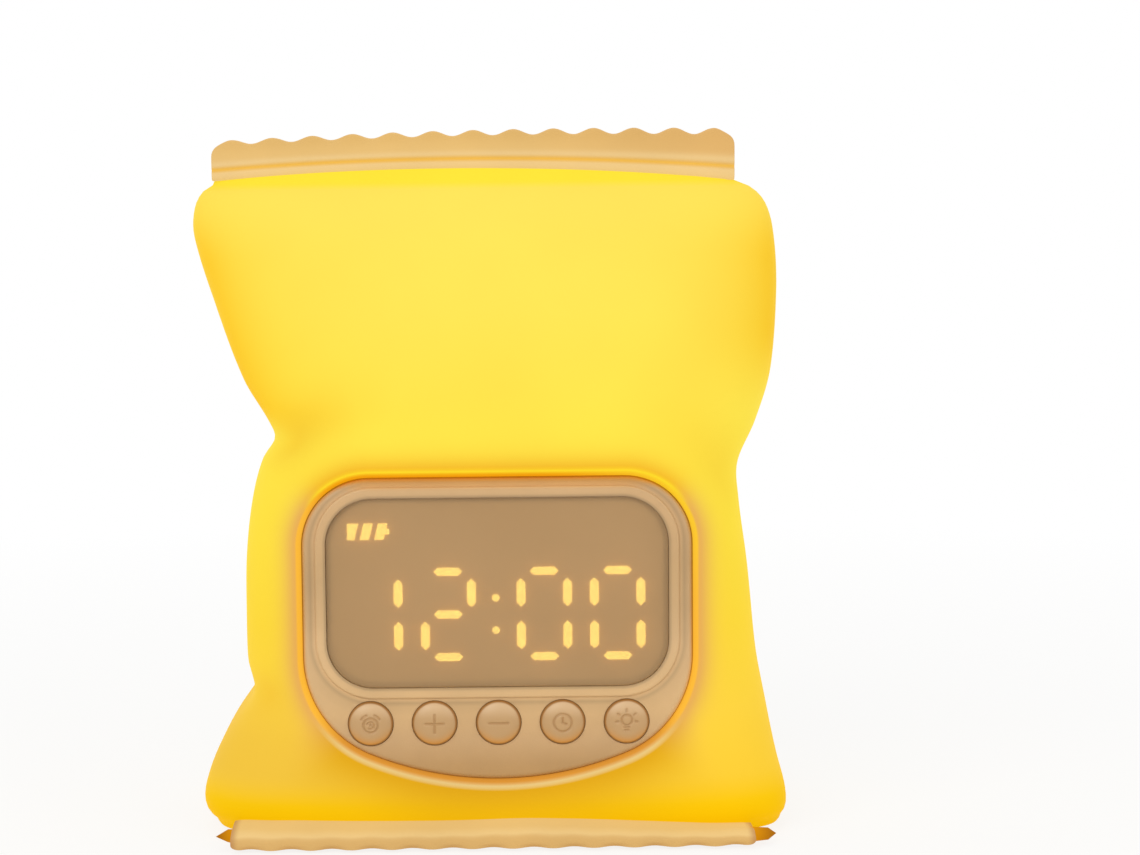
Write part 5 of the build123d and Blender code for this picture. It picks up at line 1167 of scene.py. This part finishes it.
# %% Mouldings and rubber
dress(fine_finish("abs_white_moulded", "#EDEAE2", "#F2EFE8", 0.5, 0.15, (0.45, 0.6)),
      "base_tray", "clock_case", "lamp_post", "battery_clip", "port_surround", "base_cover")
dress(fine_finish("polycarbonate_frosted", "#F4F0E4", "#F8F5EC", 0.35, 0.2, (0.5, 0.65), ior=1.58),
      "light_diffuser")
dress(fine_finish("rubber_foot_grey", "#6A665E", "#746F66", 0.6, 0.35, (0.75, 0.9)), "rubber_feet")
dress(fine_finish("nylon_black_switch", "#1E1E20", "#26262A", 0.4, 0.2, (0.4, 0.55), patch_mm=5.0),
      "switch_cases")
dress(fine_finish("nylon_tan_plunger", "#8A6A44", "#94744E", 0.3, 0.15, (0.4, 0.5), patch_mm=4.0),
      *[f"{key}_switch_plunger" for key in KEYS])

# %% Metals
dress(fine_finish("steel_zinc_plated_screw", "#B9BCC0", "#C8CACC", 0.25, 0.2, (0.28, 0.42), 3.0, 1.0),
      "base_screws", "clock_case_screws", "bracket_screws", "post_screws", "light_board_screws",
      "battery_clip_screw", "charging_board_screws")
dress(fine_finish("steel_zinc_plated_sheet", "#B0B4B8", "#BEC2C6", 0.5, 0.15, (0.3, 0.45), 9.0, 1.0,
                  stretch=(1, 1, 8)), "clock_bracket")
dress(fine_finish("steel_nickel_port_shell", "#C6C6C2", "#D2D2CE", 0.3, 0.1, (0.2, 0.32), 4.0, 1.0),
      "usb_c_shell")
dress(fine_finish("steel_zinc_magnet_cup", "#A6A9AC", "#B4B7BA", 0.4, 0.2, (0.3, 0.48), 6.0, 1.0),
      "speaker_magnet")

# %% Boards, cell and speaker
dress(fine_finish("glass_epoxy_green_mask", "#1F6B3C", "#267545", 0.8, 0.1, (0.25, 0.38), 8.0),
      "clock_board", "charging_board")
dress(fine_finish("aluminium_board_white_mask", "#EDEEEA", "#F4F5F1", 0.6, 0.1, (0.3, 0.42), 8.0),
      "light_board")
dress(fine_finish("epoxy_black_chip", "#1A1A1C", "#232326", 0.3, 0.3, (0.45, 0.6), 3.0),
      "clock_board_parts", "charging_board_parts", "usb_c_tongue")
dress(fine_finish("silicone_phosphor_chip", "#F2DC6A", "#F6E37C", 0.3, 0.1, (0.4, 0.5), 2.0), "light_chips")
dress(fine_finish("pvc_shrink_sleeve_blue", "#2F5FA8", "#3668B2", 1.2, 0.1, (0.22, 0.32), 12.0),
      "battery_cell")
dress(fine_finish("steel_black_speaker_basket", "#2A2A2C", "#343436", 0.4, 0.25, (0.45, 0.6), 6.0),
      "speaker_frame")
dress(fine_finish("paper_pressed_cone", "#3A3630", "#4A453D", 0.35, 0.6, (0.8, 0.95), 3.0), "speaker_cone")
dress(fine_finish("pvc_red_lead", "#C02A22", "#C8332A", 0.6, 0.1, (0.35, 0.45), 6.0),
      "battery_leads", "speaker_leads")
dress(fine_finish("pvc_white_lead", "#E8E6E0", "#EFEDE8", 0.6, 0.1, (0.35, 0.45), 6.0),
      "light_leads", "clock_leads")
